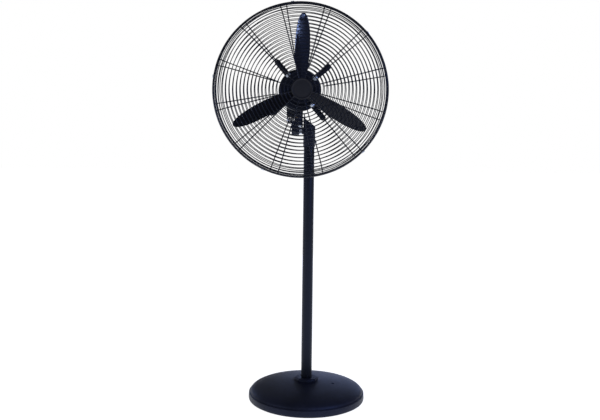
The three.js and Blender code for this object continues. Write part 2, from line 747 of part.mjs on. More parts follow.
// The hub's tongues lie behind the blade roots, at the same pitch.
function makeHub() {
  let hub = rod(HUB_R, HUB_FRONT_Y, HUB_BACK_Y, "y");
  const behind = BLADE_T / 2 + TONGUE_T / 2 + TONGUE_GAP;
  const pitch = bladePitch((BLADE_ROOT_R + TONGUE_R) / 2);
  for (let i = 0; i < BLADE_COUNT; i++) {
    const shape = strip(TONGUE_W, -TONGUE_W / 2, TONGUE_R);
    const tongue = new THREE.ExtrudeGeometry(shape, {
      depth: TONGUE_T,
      bevelEnabled: false,
      curveSegments: 4,
    });
    tongue.applyMatrix4(AXES.y);
    tongue.translate(0, TONGUE_T / 2 + behind, 0);
    tongue.rotateZ(pitch);
    tongue.translate(0, BLADE_Y, 0);
    tongue.rotateY((i * 2 * Math.PI) / BLADE_COUNT);
    hub = join(hub, solid(tongue));
  }
  return cut(hub, rod(SHAFT_R + FIT, HUB_FRONT_Y - 40, HUB_BACK_Y + 40, "y"));
}

function makeHubNut() {
  const from = HUB_FRONT_Y - GAP - HUB_NUT_L;
  const body = join(
    hex(HUB_NUT_R, from, HUB_FRONT_Y - GAP - HUB_NUT_COLLAR, "y"),
    rod(HUB_NUT_COLLAR_R, HUB_FRONT_Y - GAP - HUB_NUT_COLLAR - 1, HUB_FRONT_Y - GAP, "y"),
  );
  return cut(body, rod(SHAFT_R - 2 + FIT, from - 1, HUB_FRONT_Y + 1, "y", MEDIUM));
}

const rotor = new THREE.Group();
rotor.rotation.y = BLADE_PHASE * RAD;
head.add(rotor);
add(rotor, "motor_shaft", makeShaft(), STEEL);
add(
  rotor,
  "rotor_core",
  ring(SHAFT_R + FIT, STATOR_IN_R - ROTOR_GAP, STATOR_FROM, STATOR_TO, "y", ROUND),
  LAMINATED,
);
add(rotor, "blade_hub", makeHub(), CAST_BLACK);
add(rotor, "hub_nut", makeHubNut(), CAST_BLACK);
for (let i = 0; i < BLADE_COUNT; i++) {
  const blade = add(rotor, `blade_${i + 1}`, makeBlade(), BLADE_BLACK);
  blade.rotation.y = (i * 2 * Math.PI) / BLADE_COUNT;
}

// --- Guards --------------------------------------------------------------------------------------

// A guard's outline from its inner ring out to its rim, as x = radius, y = place along the fan's axis.
function guardCurve(innerR, bendR, flatY, rimY) {
  const side = Math.sign(flatY - rimY);
  const curve = new THREE.CurvePath();
  const from = new THREE.Vector2(innerR, flatY);
  curve.add(new THREE.LineCurve(from, new THREE.Vector2(bendR, flatY)));
  const start = (side * Math.PI) / 2;
  const deep = Math.abs(flatY - rimY);
  curve.add(new THREE.EllipseCurve(bendR, rimY, RIM_R - bendR, deep, start, 0, side > 0));
  return curve;
}

// A ring whose flats face the spokes, which stand at every twelfth of a turn from the first.
function guardRing(profile, r) {
  const facets = r > 200 ? FINE : MEDIUM;
  const points = [...profile, profile[0]].map((p) => new THREE.Vector2(p.x, p.y));
  return solid(new THREE.LatheGeometry(points, facets, Math.PI / facets));
}

// A point of the outline, moved `depth` into the cage and `along` towards the rim.
function inCage(outline, part, depth, along = 0) {
  const tangent = outline.getTangentAt(part);
  const side = Math.sign(outline.getPointAt(0).y - RIM_Y);
  const inwards = new THREE.Vector2(side * tangent.y, -side * tangent.x);
  const at = outline.getPointAt(part).clone();
  return at.addScaledVector(inwards, depth).addScaledVector(tangent, along);
}

// A wire ring on the outline; its section is a triangle that points at the spokes behind it.
function wireRing(outline, part) {
  const corners = [inCage(outline, part, 0, -WIRE / 2), inCage(outline, part, 0, WIRE / 2)];
  corners.push(inCage(outline, part, WIRE));
  if (outline.getPointAt(0).y > RIM_Y) corners.reverse();
  return guardRing(corners, outline.getPointAt(part).x);
}

// One edge of a spoke: it runs straight under each ring and bends halfway to the next one.
function spokeEdge(outline, count, depth) {
  const edge = [inCage(outline, 0, depth, -WIRE)];
  for (let i = 1; i <= count; i++) {
    const from = inCage(outline, (i - 1) / count, depth);
    const along = outline.getTangentAt((i - 1) / count);
    const next = outline.getTangentAt(i / count);
    const bend = along.cross(next);
    if (Math.abs(bend) < 1e-3) continue;
    const across = inCage(outline, i / count, depth).sub(from).cross(next);
    edge.push(from.addScaledVector(along, across / bend));
  }
  edge.push(inCage(outline, 1, depth));
  return edge;
}

// A spoke is a bar that follows the outline, bent out to the rim.
function makeSpoke(outline, count, angle) {
  const outside = spokeEdge(outline, count, SPOKE_IN - WIRE / 2);
  const loop = [...outside, ...spokeEdge(outline, count, SPOKE_IN + WIRE / 2).reverse()];
  const shape = new THREE.Shape(loop.map((p) => new THREE.Vector2(p.y, p.x)));
  const bar = new THREE.ExtrudeGeometry(shape, { depth: WIRE, bevelEnabled: false });
  bar.translate(0, 0, -WIRE / 2);
  bar.applyMatrix4(new THREE.Matrix4().makeBasis(vec(0, 1, 0), vec(0, 0, 1), vec(1, 0, 0)));
  bar.rotateY(angle);
  return solid(bar);
}

function makeGuard(innerR, bendR, flatY, pitch) {
  const side = Math.sign(flatY - RIM_Y);
  const rimY = RIM_Y + side * (RIM_WIRE / 2 + GAP / 2);
  const outline = guardCurve(innerR, bendR, flatY, rimY);
  const count = Math.round(outline.getLength() / (pitch * RING_STEP));
  const half = RIM_WIRE / 2;
  const rim = [vec(-half, -half, 0), vec(half, -half, 0), vec(half, half, 0), vec(-half, half, 0)];
  const parts = [
    guardRing(
      rim.map((corner) => corner.add(vec(RIM_R, rimY, 0))),
      RIM_R,
    ),
  ];
  for (let i = 0; i < count; i++) parts.push(wireRing(outline, i / count));
  for (let i = 0; i < SPOKES; i++) {
    parts.push(makeSpoke(outline, count, (i * 2 * Math.PI) / SPOKES));
  }
  return join(...parts);
}

function makeClip() {
  const half = RIM_WIRE + GAP / 2 + 2 * GAP;
  const top = RIM_R + RIM_WIRE / 2 + 2 * GAP;
  const low = RIM_R - SPOKE_IN + WIRE / 2 + GAP; // clear of the spokes' ends
  const shape = new THREE.Shape();
  shape.moveTo(RIM_Y - half - CLIP_WALL, low);
  shape.lineTo(RIM_Y - half, low);
  shape.lineTo(RIM_Y - half, top);
  shape.lineTo(RIM_Y + half, top);
  shape.lineTo(RIM_Y + half, low);
  shape.lineTo(RIM_Y + half + CLIP_WALL, low);
  shape.lineTo(RIM_Y + half + CLIP_WALL, top + CLIP_WALL);
  shape.lineTo(RIM_Y - half - CLIP_WALL, top + CLIP_WALL);
  shape.closePath();
  return plate(shape, CLIP_W, "x", -CLIP_W / 2);
}

function makeBadge() {
  const back = FRONT_Y - GAP;
  const front = back - BADGE_H;
  const profile = [[0, front], [BADGE_R - 6, front + 1], [BADGE_R - 4, front - 1]];
  profile.push([BADGE_R - 1, front - 1], [BADGE_R, front + 1], [BADGE_R, back], [0, back]);
  return turned(profile, "y", MEDIUM);
}

const ARM_FRONT_Y = BOSS_FACE_Y - GAP - ARM_T;
const REAR_FLAT_Y = ARM_FRONT_Y - GAP;

function makeArm() {
  const outline = roundedBox(-ARM_W / 2, ARM_W / 2, ARM_IN_R, ARM_OUT_R, ARM_CORNER_R);
  const body = plate(outline, ARM_T, "y", ARM_FRONT_Y, 3);
  const at = [0, 0, ARM_SCREW_RING_R];
  return cut(body, rod(ARM_SCREW_R + FIT, ARM_FRONT_Y - 1, BOSS_FACE_Y, "y", COARSE, at));
}

function makeArmScrew() {
  const at = [0, 0, ARM_SCREW_RING_R];
  const face = ARM_FRONT_Y - GAP;
  const top = face - ARM_WASHER - ARM_SCREW_HEAD;
  const washer = rod(ARM_WASHER_R, face - ARM_WASHER, face, "y", COARSE, at);
  const pan = rod(ARM_SCREW_HEAD_R, top, face - 1, "y", COARSE, at);
  const shank = rod(ARM_SCREW_R, face - 1, BOSS_FACE_Y + SCREW_DEPTH - 2, "y", COARSE, at);
  const slot = block(-BOSS_R, BOSS_R, top - 1, top + 2, at[2] - 1, at[2] + 1);
  return cut(join(washer, pan, shank), slot);
}

const rearWires = makeGuard(REAR_INNER_R, REAR_BEND_R, REAR_FLAT_Y, REAR_PITCH);
const frontWires = makeGuard(FRONT_INNER_R, FRONT_BEND_R, FRONT_Y, FRONT_PITCH);
add(head, "guard_rear", rearWires, WIRE_BLACK).rotation.y = REAR_SPOKE_PHASE * RAD;
add(head, "guard_front", frontWires, WIRE_BLACK).rotation.y = FRONT_SPOKE_PHASE * RAD;
add(head, "badge", makeBadge(), PLASTIC);
for (let i = 0; i < ARM_COUNT; i++) {
  const arm = add(head, `guard_arm_${i + 1}`, makeArm(), CAST_BLACK);
  arm.rotation.y = screwRing(i);
  const screw = add(head, `arm_screw_${i + 1}`, makeArmScrew(), ZINC);
  screw.rotation.y = screwRing(i);
}
CLIP_ANGLES.forEach((angle, i) => {
  const clip = add(head, `rim_clip_${i + 1}`, makeClip(), ZINC);
  clip.rotation.y = angle * RAD;
});

// --- Oscillation drive ---------------------------------------------------------------------------

const LINK_TOP_Z = LINK_Z + LINK_T;
const PIN_LOW = LINK_TOP_Z + GAP - HEAD_Z;
const DISC_LOW = PIN_LOW + 3;
const GEARBOX_LOW = DISC_LOW + CRANK_DISC_T + 2;
const GEARBOX_LEFT = WHEEL_X - GEARBOX_HALF_W;
const wheelAt = [WHEEL_X, WHEEL_Y, 0];
const BOX_FRONT_Y = MOTOR_BACK_Y + GAP;

function makeGearbox() {
  const lowRight = WHEEL_X + GEARBOX_HALF_W;
  const upper = roundedBox(GEARBOX_LEFT, GEARBOX_RIGHT, GEARBOX_STEP, GEARBOX_TOP, 8);
  const lower = roundedBox(GEARBOX_LEFT, lowRight, GEARBOX_LOW, GEARBOX_STEP + 20, 8);
  const w = BOX_WALL;
  const inLow = GEARBOX_LOW + GEARBOX_FLOOR;
  const upperHollow = block(
    GEARBOX_LEFT + w,
    GEARBOX_RIGHT - w,
    BOX_FRONT_Y + w,
    GEARBOX_BACK_Y + 1,
    GEARBOX_STEP + w,
    GEARBOX_TOP - w,
  );
  const lowerHollow = block(
    GEARBOX_LEFT + w,
    lowRight - w,
    GEARBOX_LOW_FRONT_Y + w,
    GEARBOX_BACK_Y + 1,
    inLow,
    0,
  );
  const lowFrom = GEARBOX_LOW_FRONT_Y;
  return cut(
    join(
      plate(upper, GEARBOX_BACK_Y - BOX_FRONT_Y, "y", BOX_FRONT_Y, 3),
      plate(lower, GEARBOX_BACK_Y - lowFrom, "y", lowFrom, 3),
    ),
    upperHollow,
    lowerHollow,
    rod(SHAFT_R + 1, BOX_FRONT_Y - 1, BOX_FRONT_Y + w + 1, "y"),
    rod(CRANK_SHAFT_R + FIT, GEARBOX_LOW - 1, inLow + 1, "z", MEDIUM, wheelAt),
    rod(CLUTCH_STEM_R + FIT, GEARBOX_TOP - w - 1, GEARBOX_TOP + 1, "z", MEDIUM, wheelAt),
  );
}

function makeLid() {
  const lowRight = WHEEL_X + GEARBOX_HALF_W;
  const from = GEARBOX_BACK_Y + GAP;
  const upper = roundedBox(GEARBOX_LEFT, GEARBOX_RIGHT, GEARBOX_STEP, GEARBOX_TOP, 8);
  const lower = roundedBox(GEARBOX_LEFT, lowRight, GEARBOX_LOW, GEARBOX_STEP + 20, 8);
  return join(plate(upper, LID_T, "y", from, 3), plate(lower, LID_T, "y", from, 3));
}

function makeWheel() {
  const shape = new THREE.Shape();
  const depth = 1.6;
  for (let i = 0; i < WHEEL_TEETH; i++) {
    [[0, WHEEL_R], [0.35, WHEEL_R], [0.7, WHEEL_R - depth]].forEach(
      ([part, r]) => {
        const a = ((i + part) * 2 * Math.PI) / WHEEL_TEETH;
        if (i + part === 0) shape.moveTo(r, 0);
        else shape.lineTo(r * Math.cos(a), r * Math.sin(a));
      },
    );
  }
  shape.closePath();
  const disc = plate(shape, WHEEL_T, "z", -WHEEL_T / 2);
  return cut(disc, rod(CRANK_SHAFT_R + FIT, -WHEEL_T, WHEEL_T, "z"));
}

function makeCrank() {
  return join(
    rod(CRANK_SHAFT_R, DISC_LOW, WHEEL_T / 2 + 4, "z", MEDIUM),
    rod(CRANK_DISC_R, DISC_LOW, DISC_LOW + CRANK_DISC_T, "z", MEDIUM),
    rod(LINK_PIN_R, PIN_LOW, DISC_LOW + 1, "z", COARSE, [-CRANK_R, 0, 0]),
  );
}

function makeClutchKnob() {
  const top = GEARBOX_TOP + GAP;
  const grip = [[0, top], [CLUTCH_R - 3, top], [CLUTCH_R - 4, top + 8], [CLUTCH_R, top + 12]];
  grip.push([CLUTCH_R, top + CLUTCH_H - 2], [CLUTCH_R - 2, top + CLUTCH_H], [0, top + CLUTCH_H]);
  const stemLow = WHEEL_T / 2 + 4 + GAP + 1;
  return join(turned(grip, "z", COARSE), rod(CLUTCH_STEM_R, stemLow, top + 1, "z", COARSE));
}

const drive = new THREE.Group();
drive.position.set(WHEEL_X, WHEEL_Y, 0);
head.add(drive);
add(head, "gearbox_housing", makeGearbox(), CAST_BLACK);
add(head, "gearbox_lid", makeLid(), CAST_BLACK);
add(drive, "worm_wheel", makeWheel(), BRONZE);
add(drive, "crank", makeCrank(), STEEL);
add(drive, "clutch_knob", makeClutchKnob(), PLASTIC);

// --- Switch box ----------------------------------------------------------------------------------

const SWITCH_X = GEARBOX_RIGHT + 1;
const SWITCH_MID_X = SWITCH_X + SWITCH_W / 2;
const SWITCH_BACK_Y = BOX_FRONT_Y + SWITCH_D;
const COVER_T = 3;
const knobAt = [SWITCH_MID_X, 0, SWITCH_LOW + KNOB_UP];

function makeSwitchBox() {
  const w = SWITCH_WALL;
  const outline = roundedBox(SWITCH_X, SWITCH_X + SWITCH_W, SWITCH_LOW, SWITCH_LOW + SWITCH_H, 5);
  const hollow = block(
    SWITCH_X + w,
    SWITCH_X + SWITCH_W - w,
    BOX_FRONT_Y + w,
    SWITCH_BACK_Y + 1,
    SWITCH_LOW + w,
    SWITCH_LOW + SWITCH_H - w,
  );
  const glandAt = [SWITCH_MID_X, BOX_FRONT_Y + SWITCH_D / 2, 0];
  return cut(
    plate(outline, SWITCH_D, "y", BOX_FRONT_Y, 3),
    hollow,
    rod(GLAND_R - 3 + FIT, SWITCH_LOW - 1, SWITCH_LOW + w + 1, "z", COARSE, glandAt),
  );
}

function makeSwitchCover() {
  const from = SWITCH_BACK_Y + GAP;
  const outline = roundedBox(SWITCH_X, SWITCH_X + SWITCH_W, SWITCH_LOW, SWITCH_LOW + SWITCH_H, 5);
  const hole = rod(KNOB_STEM_R + FIT, from - 1, from + COVER_T + 1, "y", COARSE, knobAt);
  return cut(plate(outline, COVER_T, "y", from, 3), hole);
}

function makeRotarySwitch() {
  const to = SWITCH_BACK_Y - 6;
  return block(
    knobAt[0] - 14,
    knobAt[0] + 14,
    to - 20,
    to,
    knobAt[2] - 14,
    knobAt[2] + 14,
  );
}

function makeCapacitor() {
  const r = SWITCH_D / 2 - SWITCH_WALL - 5;
  const at = [SWITCH_MID_X, BOX_FRONT_Y + SWITCH_D / 2, 0];
  const low = SWITCH_LOW + SWITCH_WALL + 6;
  return rod(r, low, knobAt[2] - 18, "z", COARSE, at);
}

function makeSpeedKnob() {
  const from = SWITCH_BACK_Y + GAP + COVER_T + GAP;
  const skirt = rod(KNOB_R, from, from + 4, "y", MEDIUM, knobAt);
  const grip = rod(KNOB_R - 4, from + 3, from + KNOB_H, "y", MEDIUM, knobAt);
  const stem = rod(KNOB_STEM_R, SWITCH_BACK_Y - 6 + GAP, from + 1, "y", COARSE, knobAt);
  const bar = block(
    knobAt[0] - 3,
    knobAt[0] + 3,
    from + 3,
    from + KNOB_H + 3,
    knobAt[2] - KNOB_R + 2,
    knobAt[2] + KNOB_R - 1,
  );
  return join(skirt, grip, stem, bar);
}

// The cable gland screws into the floor of the box; its threaded end stays inside the wall.
function makeGland() {
  const at = [SWITCH_MID_X, BOX_FRONT_Y + SWITCH_D / 2, 0];
  const seat = SWITCH_LOW - GAP;
  const low = seat - GLAND_H;
  const dome = [[0, low], [5, low], [GLAND_R - 2, low + 4], [GLAND_R - 1, seat - 6]];
  dome.push([0, seat - 6]);
  const nutPart = hex(GLAND_R, seat - 7, seat, "z", at);
  const thread = rod(GLAND_R - 3, seat - 1, SWITCH_LOW + SWITCH_WALL + 3, "z", COARSE, at);
  const bore = rod(3.6, low - 1, SWITCH_LOW + SWITCH_WALL + 4, "z", COARSE, at);
  return cut(join(turned(dome, "z", COARSE, at), nutPart, thread), bore);
}

add(head, "switch_box", makeSwitchBox(), CAST_BLACK);
add(head, "switch_cover", makeSwitchCover(), CAST_BLACK);
add(head, "rotary_switch", makeRotarySwitch(), WHITE_PLASTIC);
add(head, "run_capacitor", makeCapacitor(), WHITE_PLASTIC);
add(head, "speed_knob", makeSpeedKnob(), PLASTIC);
add(head, "cable_gland", makeGland(), PLASTIC);

export default fan;
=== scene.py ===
# %% [markdown]
# # A black pedestal fan
# The fan stands on a cast base. A tube pole carries a neck that tilts, a head that swings on it, a motor
# with its oscillation drive behind, and three paddle blades inside a wire guard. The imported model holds
# the sizes, so every piece here takes its place from it.

# %% Load the frame
from math import cos, pi, radians, sin

import bmesh
import bpy
from mathutils import Euler, Matrix, Vector


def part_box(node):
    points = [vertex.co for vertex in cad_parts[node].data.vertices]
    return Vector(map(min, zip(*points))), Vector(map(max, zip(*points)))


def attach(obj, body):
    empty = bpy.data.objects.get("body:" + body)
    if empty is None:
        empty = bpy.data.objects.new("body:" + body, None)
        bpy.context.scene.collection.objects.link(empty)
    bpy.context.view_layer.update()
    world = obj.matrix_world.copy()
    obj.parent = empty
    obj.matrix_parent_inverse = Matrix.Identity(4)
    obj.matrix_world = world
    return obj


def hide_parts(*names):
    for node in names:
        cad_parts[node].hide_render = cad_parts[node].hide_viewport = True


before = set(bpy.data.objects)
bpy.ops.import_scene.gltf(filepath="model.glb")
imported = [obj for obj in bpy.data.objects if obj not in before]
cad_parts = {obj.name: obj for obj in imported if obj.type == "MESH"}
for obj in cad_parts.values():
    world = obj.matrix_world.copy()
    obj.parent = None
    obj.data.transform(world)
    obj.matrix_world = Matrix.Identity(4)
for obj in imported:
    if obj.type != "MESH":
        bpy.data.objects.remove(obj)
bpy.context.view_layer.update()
MM = 0.001

# %% [markdown]
# ## The camera
# It stands level a little left of the pole, lower than the head, and is turned so that the head lands in
# the middle. A lens shift takes in the base without tipping the view, which keeps the pole straight.

# %% Camera
CAMERA_AT = Vector((-0.18, -3.7, 1.28))
CAMERA_YAW = radians(2.13)
CAMERA_ROLL = radians(0.7)
LENS = 49.0
SENSOR_WIDTH = 36
SHIFT_ACROSS, SHIFT_DOWN = -0.0003, -0.1578

camera = bpy.data.objects.new("camera", bpy.data.cameras.new("camera"))
camera.data.lens = LENS
camera.data.sensor_width = SENSOR_WIDTH
camera.data.shift_x = SHIFT_ACROSS
camera.data.shift_y = SHIFT_DOWN
camera.location = CAMERA_AT
camera.rotation_euler = Euler((pi / 2, -CAMERA_ROLL, -CAMERA_YAW))
bpy.context.scene.collection.objects.link(camera)
bpy.context.scene.camera = camera
print("camera at", tuple(CAMERA_AT))

# %% [markdown]
# ## Floor and light
# Black paint shows only what it mirrors. The surroundings are therefore white where they are seen and
# dim where they light the fan, and soft boxes draw the highlights. The one on the right is a low strip:
# the pitched top blade mirrors it near its tip. The others lift the base, the pole's left side and the
# motor a little.

# %% Floor
FLOOR_SIZE = 30

floor_mesh = bmesh.new()
bmesh.ops.create_grid(floor_mesh, x_segments=1, y_segments=1, size=FLOOR_SIZE / 2)
floor_data = bpy.data.meshes.new("floor")
floor_mesh.to_mesh(floor_data)
floor_mesh.free()
floor = bpy.data.objects.new("floor", floor_data)
bpy.context.scene.collection.objects.link(floor)


# %% Lights
def soft_box(name, at, target, size, power, color):
    light = bpy.data.lights.new(name, "AREA")
    light.shape = "RECTANGLE"
    light.size, light.size_y = size
    light.energy = power
    light.color = color
    lamp = bpy.data.objects.new(name, light)
    lamp.location = at
    lamp.rotation_euler = (Vector(target) - Vector(at)).to_track_quat("-Z", "Y").to_euler()
    bpy.context.scene.collection.objects.link(lamp)


WHITE = (1, 1, 1)
COOL = (0.80, 0.88, 1.0)
BLADE_COOL = (0.36, 0.50, 1.0)
BASE_COOL = (0.42, 0.54, 1.0)
soft_box("blade_strip", (2.15, -2.27, 1.97), (0, -0.2, 1.65), (1.35, 0.14), 40, BLADE_COOL)
soft_box("behind_base", (1.1, 3.4, 0.7), (0, 0, 0.1), (2.6, 1.0), 13, BASE_COOL)
soft_box("behind_left", (-2.2, 3.0, 0.9), (0, 0, 0.1), (1.4, 1.2), 8, BASE_COOL)
soft_box("side_left", (-3.0, -1.6, 1.3), (0, 0, 0.6), (0.9, 2.2), 11, COOL)
soft_box("front_fill", (-0.9, -4.4, 2.3), (0, 0, 0.9), (2.4, 1.4), 6, WHITE)

# %% Surroundings
SEEN_WHITE = 1.0
LIGHT_WHITE = 0.16
SKY = (0.92, 0.95, 1, 1)

world = bpy.data.worlds.new("studio")
world.use_nodes = True
bpy.context.scene.world = world
studio = world.node_tree
studio.nodes.clear()
seen = studio.nodes.new("ShaderNodeBackground")
seen.inputs["Color"].default_value = (*WHITE, 1)
seen.inputs["Strength"].default_value = SEEN_WHITE
lighting = studio.nodes.new("ShaderNodeBackground")
lighting.inputs["Color"].default_value = SKY
lighting.inputs["Strength"].default_value = LIGHT_WHITE
choose = studio.nodes.new("ShaderNodeMixShader")
rays = studio.nodes.new("ShaderNodeLightPath")
world_out = studio.nodes.new("ShaderNodeOutputWorld")
studio.links.new(rays.outputs["Is Camera Ray"], choose.inputs[0])
studio.links.new(lighting.outputs[0], choose.inputs[1])
studio.links.new(seen.outputs[0], choose.inputs[2])
studio.links.new(choose.outputs[0], world_out.inputs[0])
bpy.context.scene.view_settings.view_transform = "Standard"

# %% [markdown]
# ## Writing finishes
# A finish is a node tree. Wrapping each output in a small class lets the maths read like ordinary Python:
# `grain * 0.4 + 0.3` adds two Math nodes.


# %% Shader maths
class Wire:
    """An output of a node, with Python's operators."""

    def __init__(self, finish, socket):
        self.finish = finish
        self.socket = socket

    def maths(self, operation, *values):
        return self.finish.node("ShaderNodeMath", {"operation": operation}, dict(enumerate(values)))

    def __add__(self, other):
        return self.maths("ADD", self, other)

    def __mul__(self, other):
        return self.maths("MULTIPLY", self, other)

    __radd__ = __add__
    __rmul__ = __mul__


class Finish:
    """A material in the making: a Principled shader and the nodes that feed it."""

    def __init__(self, name, **constants):
        self.material = bpy.data.materials.new(name)
        self.material.use_nodes = True
        self.tree = self.material.node_tree
        self.tree.nodes.clear()
        self.shader = self.tree.nodes.new("ShaderNodeBsdfPrincipled")
        out = self.tree.nodes.new("ShaderNodeOutputMaterial")
        self.tree.links.new(self.shader.outputs[0], out.inputs[0])
        for key, value in constants.items():
            self.shader.inputs[key.replace("_", " ").title().replace("Ior", "IOR")].default_value = value
        self.place = self.node("ShaderNodeTexCoord", out="Object")

    def node(self, kind, settings=None, inputs=None, out=0):
        made = self.tree.nodes.new(kind)
        for key, value in (settings or {}).items():
            if key == "stops":
                ramp = made.color_ramp
                while len(ramp.elements) < len(value):
                    ramp.elements.new(1)
                for element, (position, level) in zip(ramp.elements, value):
                    element.position = position
                    element.color = (level, level, level, 1)
            else:
                setattr(made, key, value)
        for key, value in (inputs or {}).items():
            self.feed(made.inputs[key], value)
        return Wire(self, made.outputs[out])

    def feed(self, socket, value):
        if isinstance(value, Wire):
            self.tree.links.new(value.socket, socket)
        else:
            socket.default_value = value

    def noise(self, scale, detail=3, roughness=0.5, place=None):
        values = {"Vector": place or self.place, "Scale": scale, "Detail": detail}
        return self.node("ShaderNodeTexNoise", {}, {**values, "Roughness": roughness})

    def cells(self, scale):
        return self.node("ShaderNodeTexVoronoi", {}, {"Vector": self.place, "Scale": scale})

    def stretched(self, scale):
        return self.node("ShaderNodeMapping", {}, {"Vector": self.place, "Scale": scale})

    def ramp(self, value, *stops):
        return self.node("ShaderNodeValToRGB", {"stops": stops}, {0: value})

    def mix(self, amount, first, second):
        settings = {"data_type": "RGBA"}
        return self.node("ShaderNodeMix", settings, {0: amount, 6: first, 7: second}, out=2)

    def bump(self, height, depth):
        return self.node("ShaderNodeBump", {}, {"Height": height, "Distance": depth, "Strength": 1.0})

    def done(self, **inputs):
        for key, value in inputs.items():
            self.feed(self.shader.inputs[key.replace("_", " ").title()], value)
        return self.material


# %% [markdown]
# ## Black paint
# Every painted part is black with a cold sheen. What tells a cast base from a drawn wire is the skin under
# the paint: pebbly on castings, faintly wavy on powder coat, nearly flat on the blades.

# %% Paints
BLUE_SHEEN = (0.52, 0.64, 1.0, 1)
BLACK = (0.003, 0.0032, 0.0052, 1)
BLACK_LIFTED = (0.006, 0.0064, 0.0105, 1)
CAST_LIFTED = (0.017, 0.019, 0.038, 1)
DUST = (0.05, 0.052, 0.058, 1)


def paint(
    name, gloss, grain_scale, grain_depth, level=0.26, pits=0.0, coat=0.0, lifted=BLACK_LIFTED, dusty=0.06
):
    """Black paint: gloss is its roughness, and the grain is the skin of the metal under it."""
    finish = Finish(name, specular_tint=BLUE_SHEEN, specular_ior_level=level, coat_roughness=0.07)
    clouds = finish.noise(9, 4)
    grain = finish.noise(grain_scale, 5, 0.62)
    height = grain * 1.0
    if pits:
        holes = finish.ramp(finish.cells(grain_scale * 0.35), (0.0, 0.0), (0.16, 1.0))
        height = height + holes * pits
    dust = finish.ramp(finish.noise(60, 6, 0.7), (0.56, 0.0), (0.8, 1.0))
    color = finish.mix(clouds, BLACK, lifted)
    color = finish.mix(dust * dusty, color, DUST)
    roughness = clouds * 0.10 + grain * 0.10 + dust * 0.12 + (gloss - 0.12)
    return finish.done(
        base_color=color,
        roughness=roughness,
        coat_weight=coat,
        normal=finish.bump(height, grain_depth),
    )


CAST = paint("cast_black", 0.46, 420, 0.0006, level=0.22, pits=0.6, lifted=CAST_LIFTED, dusty=0.2)
TUBE = paint("tube_black", 0.40, 900, 0.00004)
COATED_WIRE = paint("wire_black", 0.38, 700, 0.00005, level=0.2)
DIECAST = paint("diecast_black", 0.48, 650, 0.00018, pits=0.25)
STRAP = paint("strap_black", 0.40, 800, 0.00006)
BLADE = paint("blade_black", 0.45, 260, 0.00001, level=0.08, coat=0.3)


# %% [markdown]
# ## Bright metal
# The screws are zinc plated, so they are pale with a faint blue and fine turning marks. The working parts
# inside are bare: ground steel, bronze, copper wire and stacked sheet.


# %% Metals
def metal(name, color, dark, gloss, stretch=(1, 1, 1), marks=900, depth=0.00002):
    finish = Finish(name, metallic=1.0)
    smudge = finish.noise(40, 5, 0.6)
    lines = finish.noise(marks, 3, 0.6, finish.stretched(stretch))
    wear = finish.ramp(finish.noise(160, 6, 0.7), (0.5, 0.0), (0.75, 1.0))
    shade = finish.mix(smudge * 0.7, color, dark)
    shade = finish.mix(wear * 0.35, shade, dark)
    roughness = smudge * 0.14 + lines * 0.12 + wear * 0.10 + (gloss - 0.16)
    normal = finish.bump(lines, depth)
    return finish.done(base_color=shade, roughness=roughness, normal=normal)


ZINC = metal("bright_zinc", (0.60, 0.66, 0.76, 1), (0.30, 0.34, 0.42, 1), 0.34)
STEEL = metal("ground_steel", (0.48, 0.49, 0.51, 1), (0.20, 0.20, 0.21, 1), 0.34, (1, 30, 1))
BRONZE = metal("bronze", (0.55, 0.38, 0.16, 1), (0.25, 0.15, 0.06, 1), 0.36)
LAMINATED = metal("stacked_sheet", (0.26, 0.27, 0.30, 1), (0.10, 0.10, 0.11, 1), 0.5, (1, 60, 1), 60, 0.0003)
COPPER = metal("copper_wire", (0.62, 0.24, 0.09, 1), (0.28, 0.09, 0.03, 1), 0.38, (4, 1, 4), 500, 0.0003)


# %% Plastics and rubber
def moulded(name, color, dark, gloss, grain, depth):
    finish = Finish(name, specular_ior_level=0.14)
    spark = finish.noise(grain, 4, 0.6)
    clouds = finish.noise(30, 3)
    shade = finish.mix(clouds, color, dark)
    roughness = spark * 0.16 + clouds * 0.08 + (gloss - 0.12)
    return finish.done(base_color=shade, roughness=roughness, normal=finish.bump(spark, depth))


PLASTIC = moulded("black_plastic", (0.011, 0.012, 0.016, 1), (0.007, 0.007, 0.010, 1), 0.42, 1100, 0.00008)
PALE = moulded("pale_plastic", (0.66, 0.65, 0.60, 1), (0.52, 0.51, 0.47, 1), 0.45, 900, 0.00006)
RUBBER = moulded("rubber", (0.012, 0.012, 0.012, 1), (0.006, 0.006, 0.006, 1), 0.82, 700, 0.0002)


def paper(name):
    """The studio's white floor, which glows enough to stay white as far as the horizon."""
    finish = Finish(name, specular_ior_level=0.0, emission_strength=0.97)
    clouds = finish.noise(2, 2)
    white = finish.mix(clouds, (0.80, 0.80, 0.81, 1), (0.78, 0.78, 0.79, 1))
    glow = finish.mix(clouds, (1, 1, 1, 1), (0.98, 0.98, 0.98, 1))
    return finish.done(base_color=white, emission_color=glow, roughness=clouds * 0.1 + 0.8)


floor.data.materials.append(paper("studio_floor"))
print("finishes", len(bpy.data.materials))

# %% [markdown]
# ## Making pieces
# Most pieces of a fan are turned: a profile of radius and height, spun round its axis. The rest are CAD
# shapes whose edges only need the small radius that casting or paint gives them.

# %% Piece helpers
ORIGIN = Vector((0, 0, 0))
AXIS = {"x": Vector((1, 0, 0)), "y": Vector((0, 1, 0)), "z": Vector((0, 0, 1))}
ACROSS = {"x": Vector((0, 0, 1)), "y": Vector((0, 0, 1)), "z": Vector((1, 0, 0))}
ROUND = 96
SMALL = 32
BIG = 144
MIDDLING = 48
SAME_POINT = 0.003 * MM
GAP = 0.3 * MM


def low(node):
    """The left, front, lower corner of a CAD node's box."""
    return Vector(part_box(node)[0])


def high(node):
    """The right, back, upper corner of a CAD node's box."""
    return Vector(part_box(node)[1])


def middle(node):
    return (low(node) + high(node)) / 2


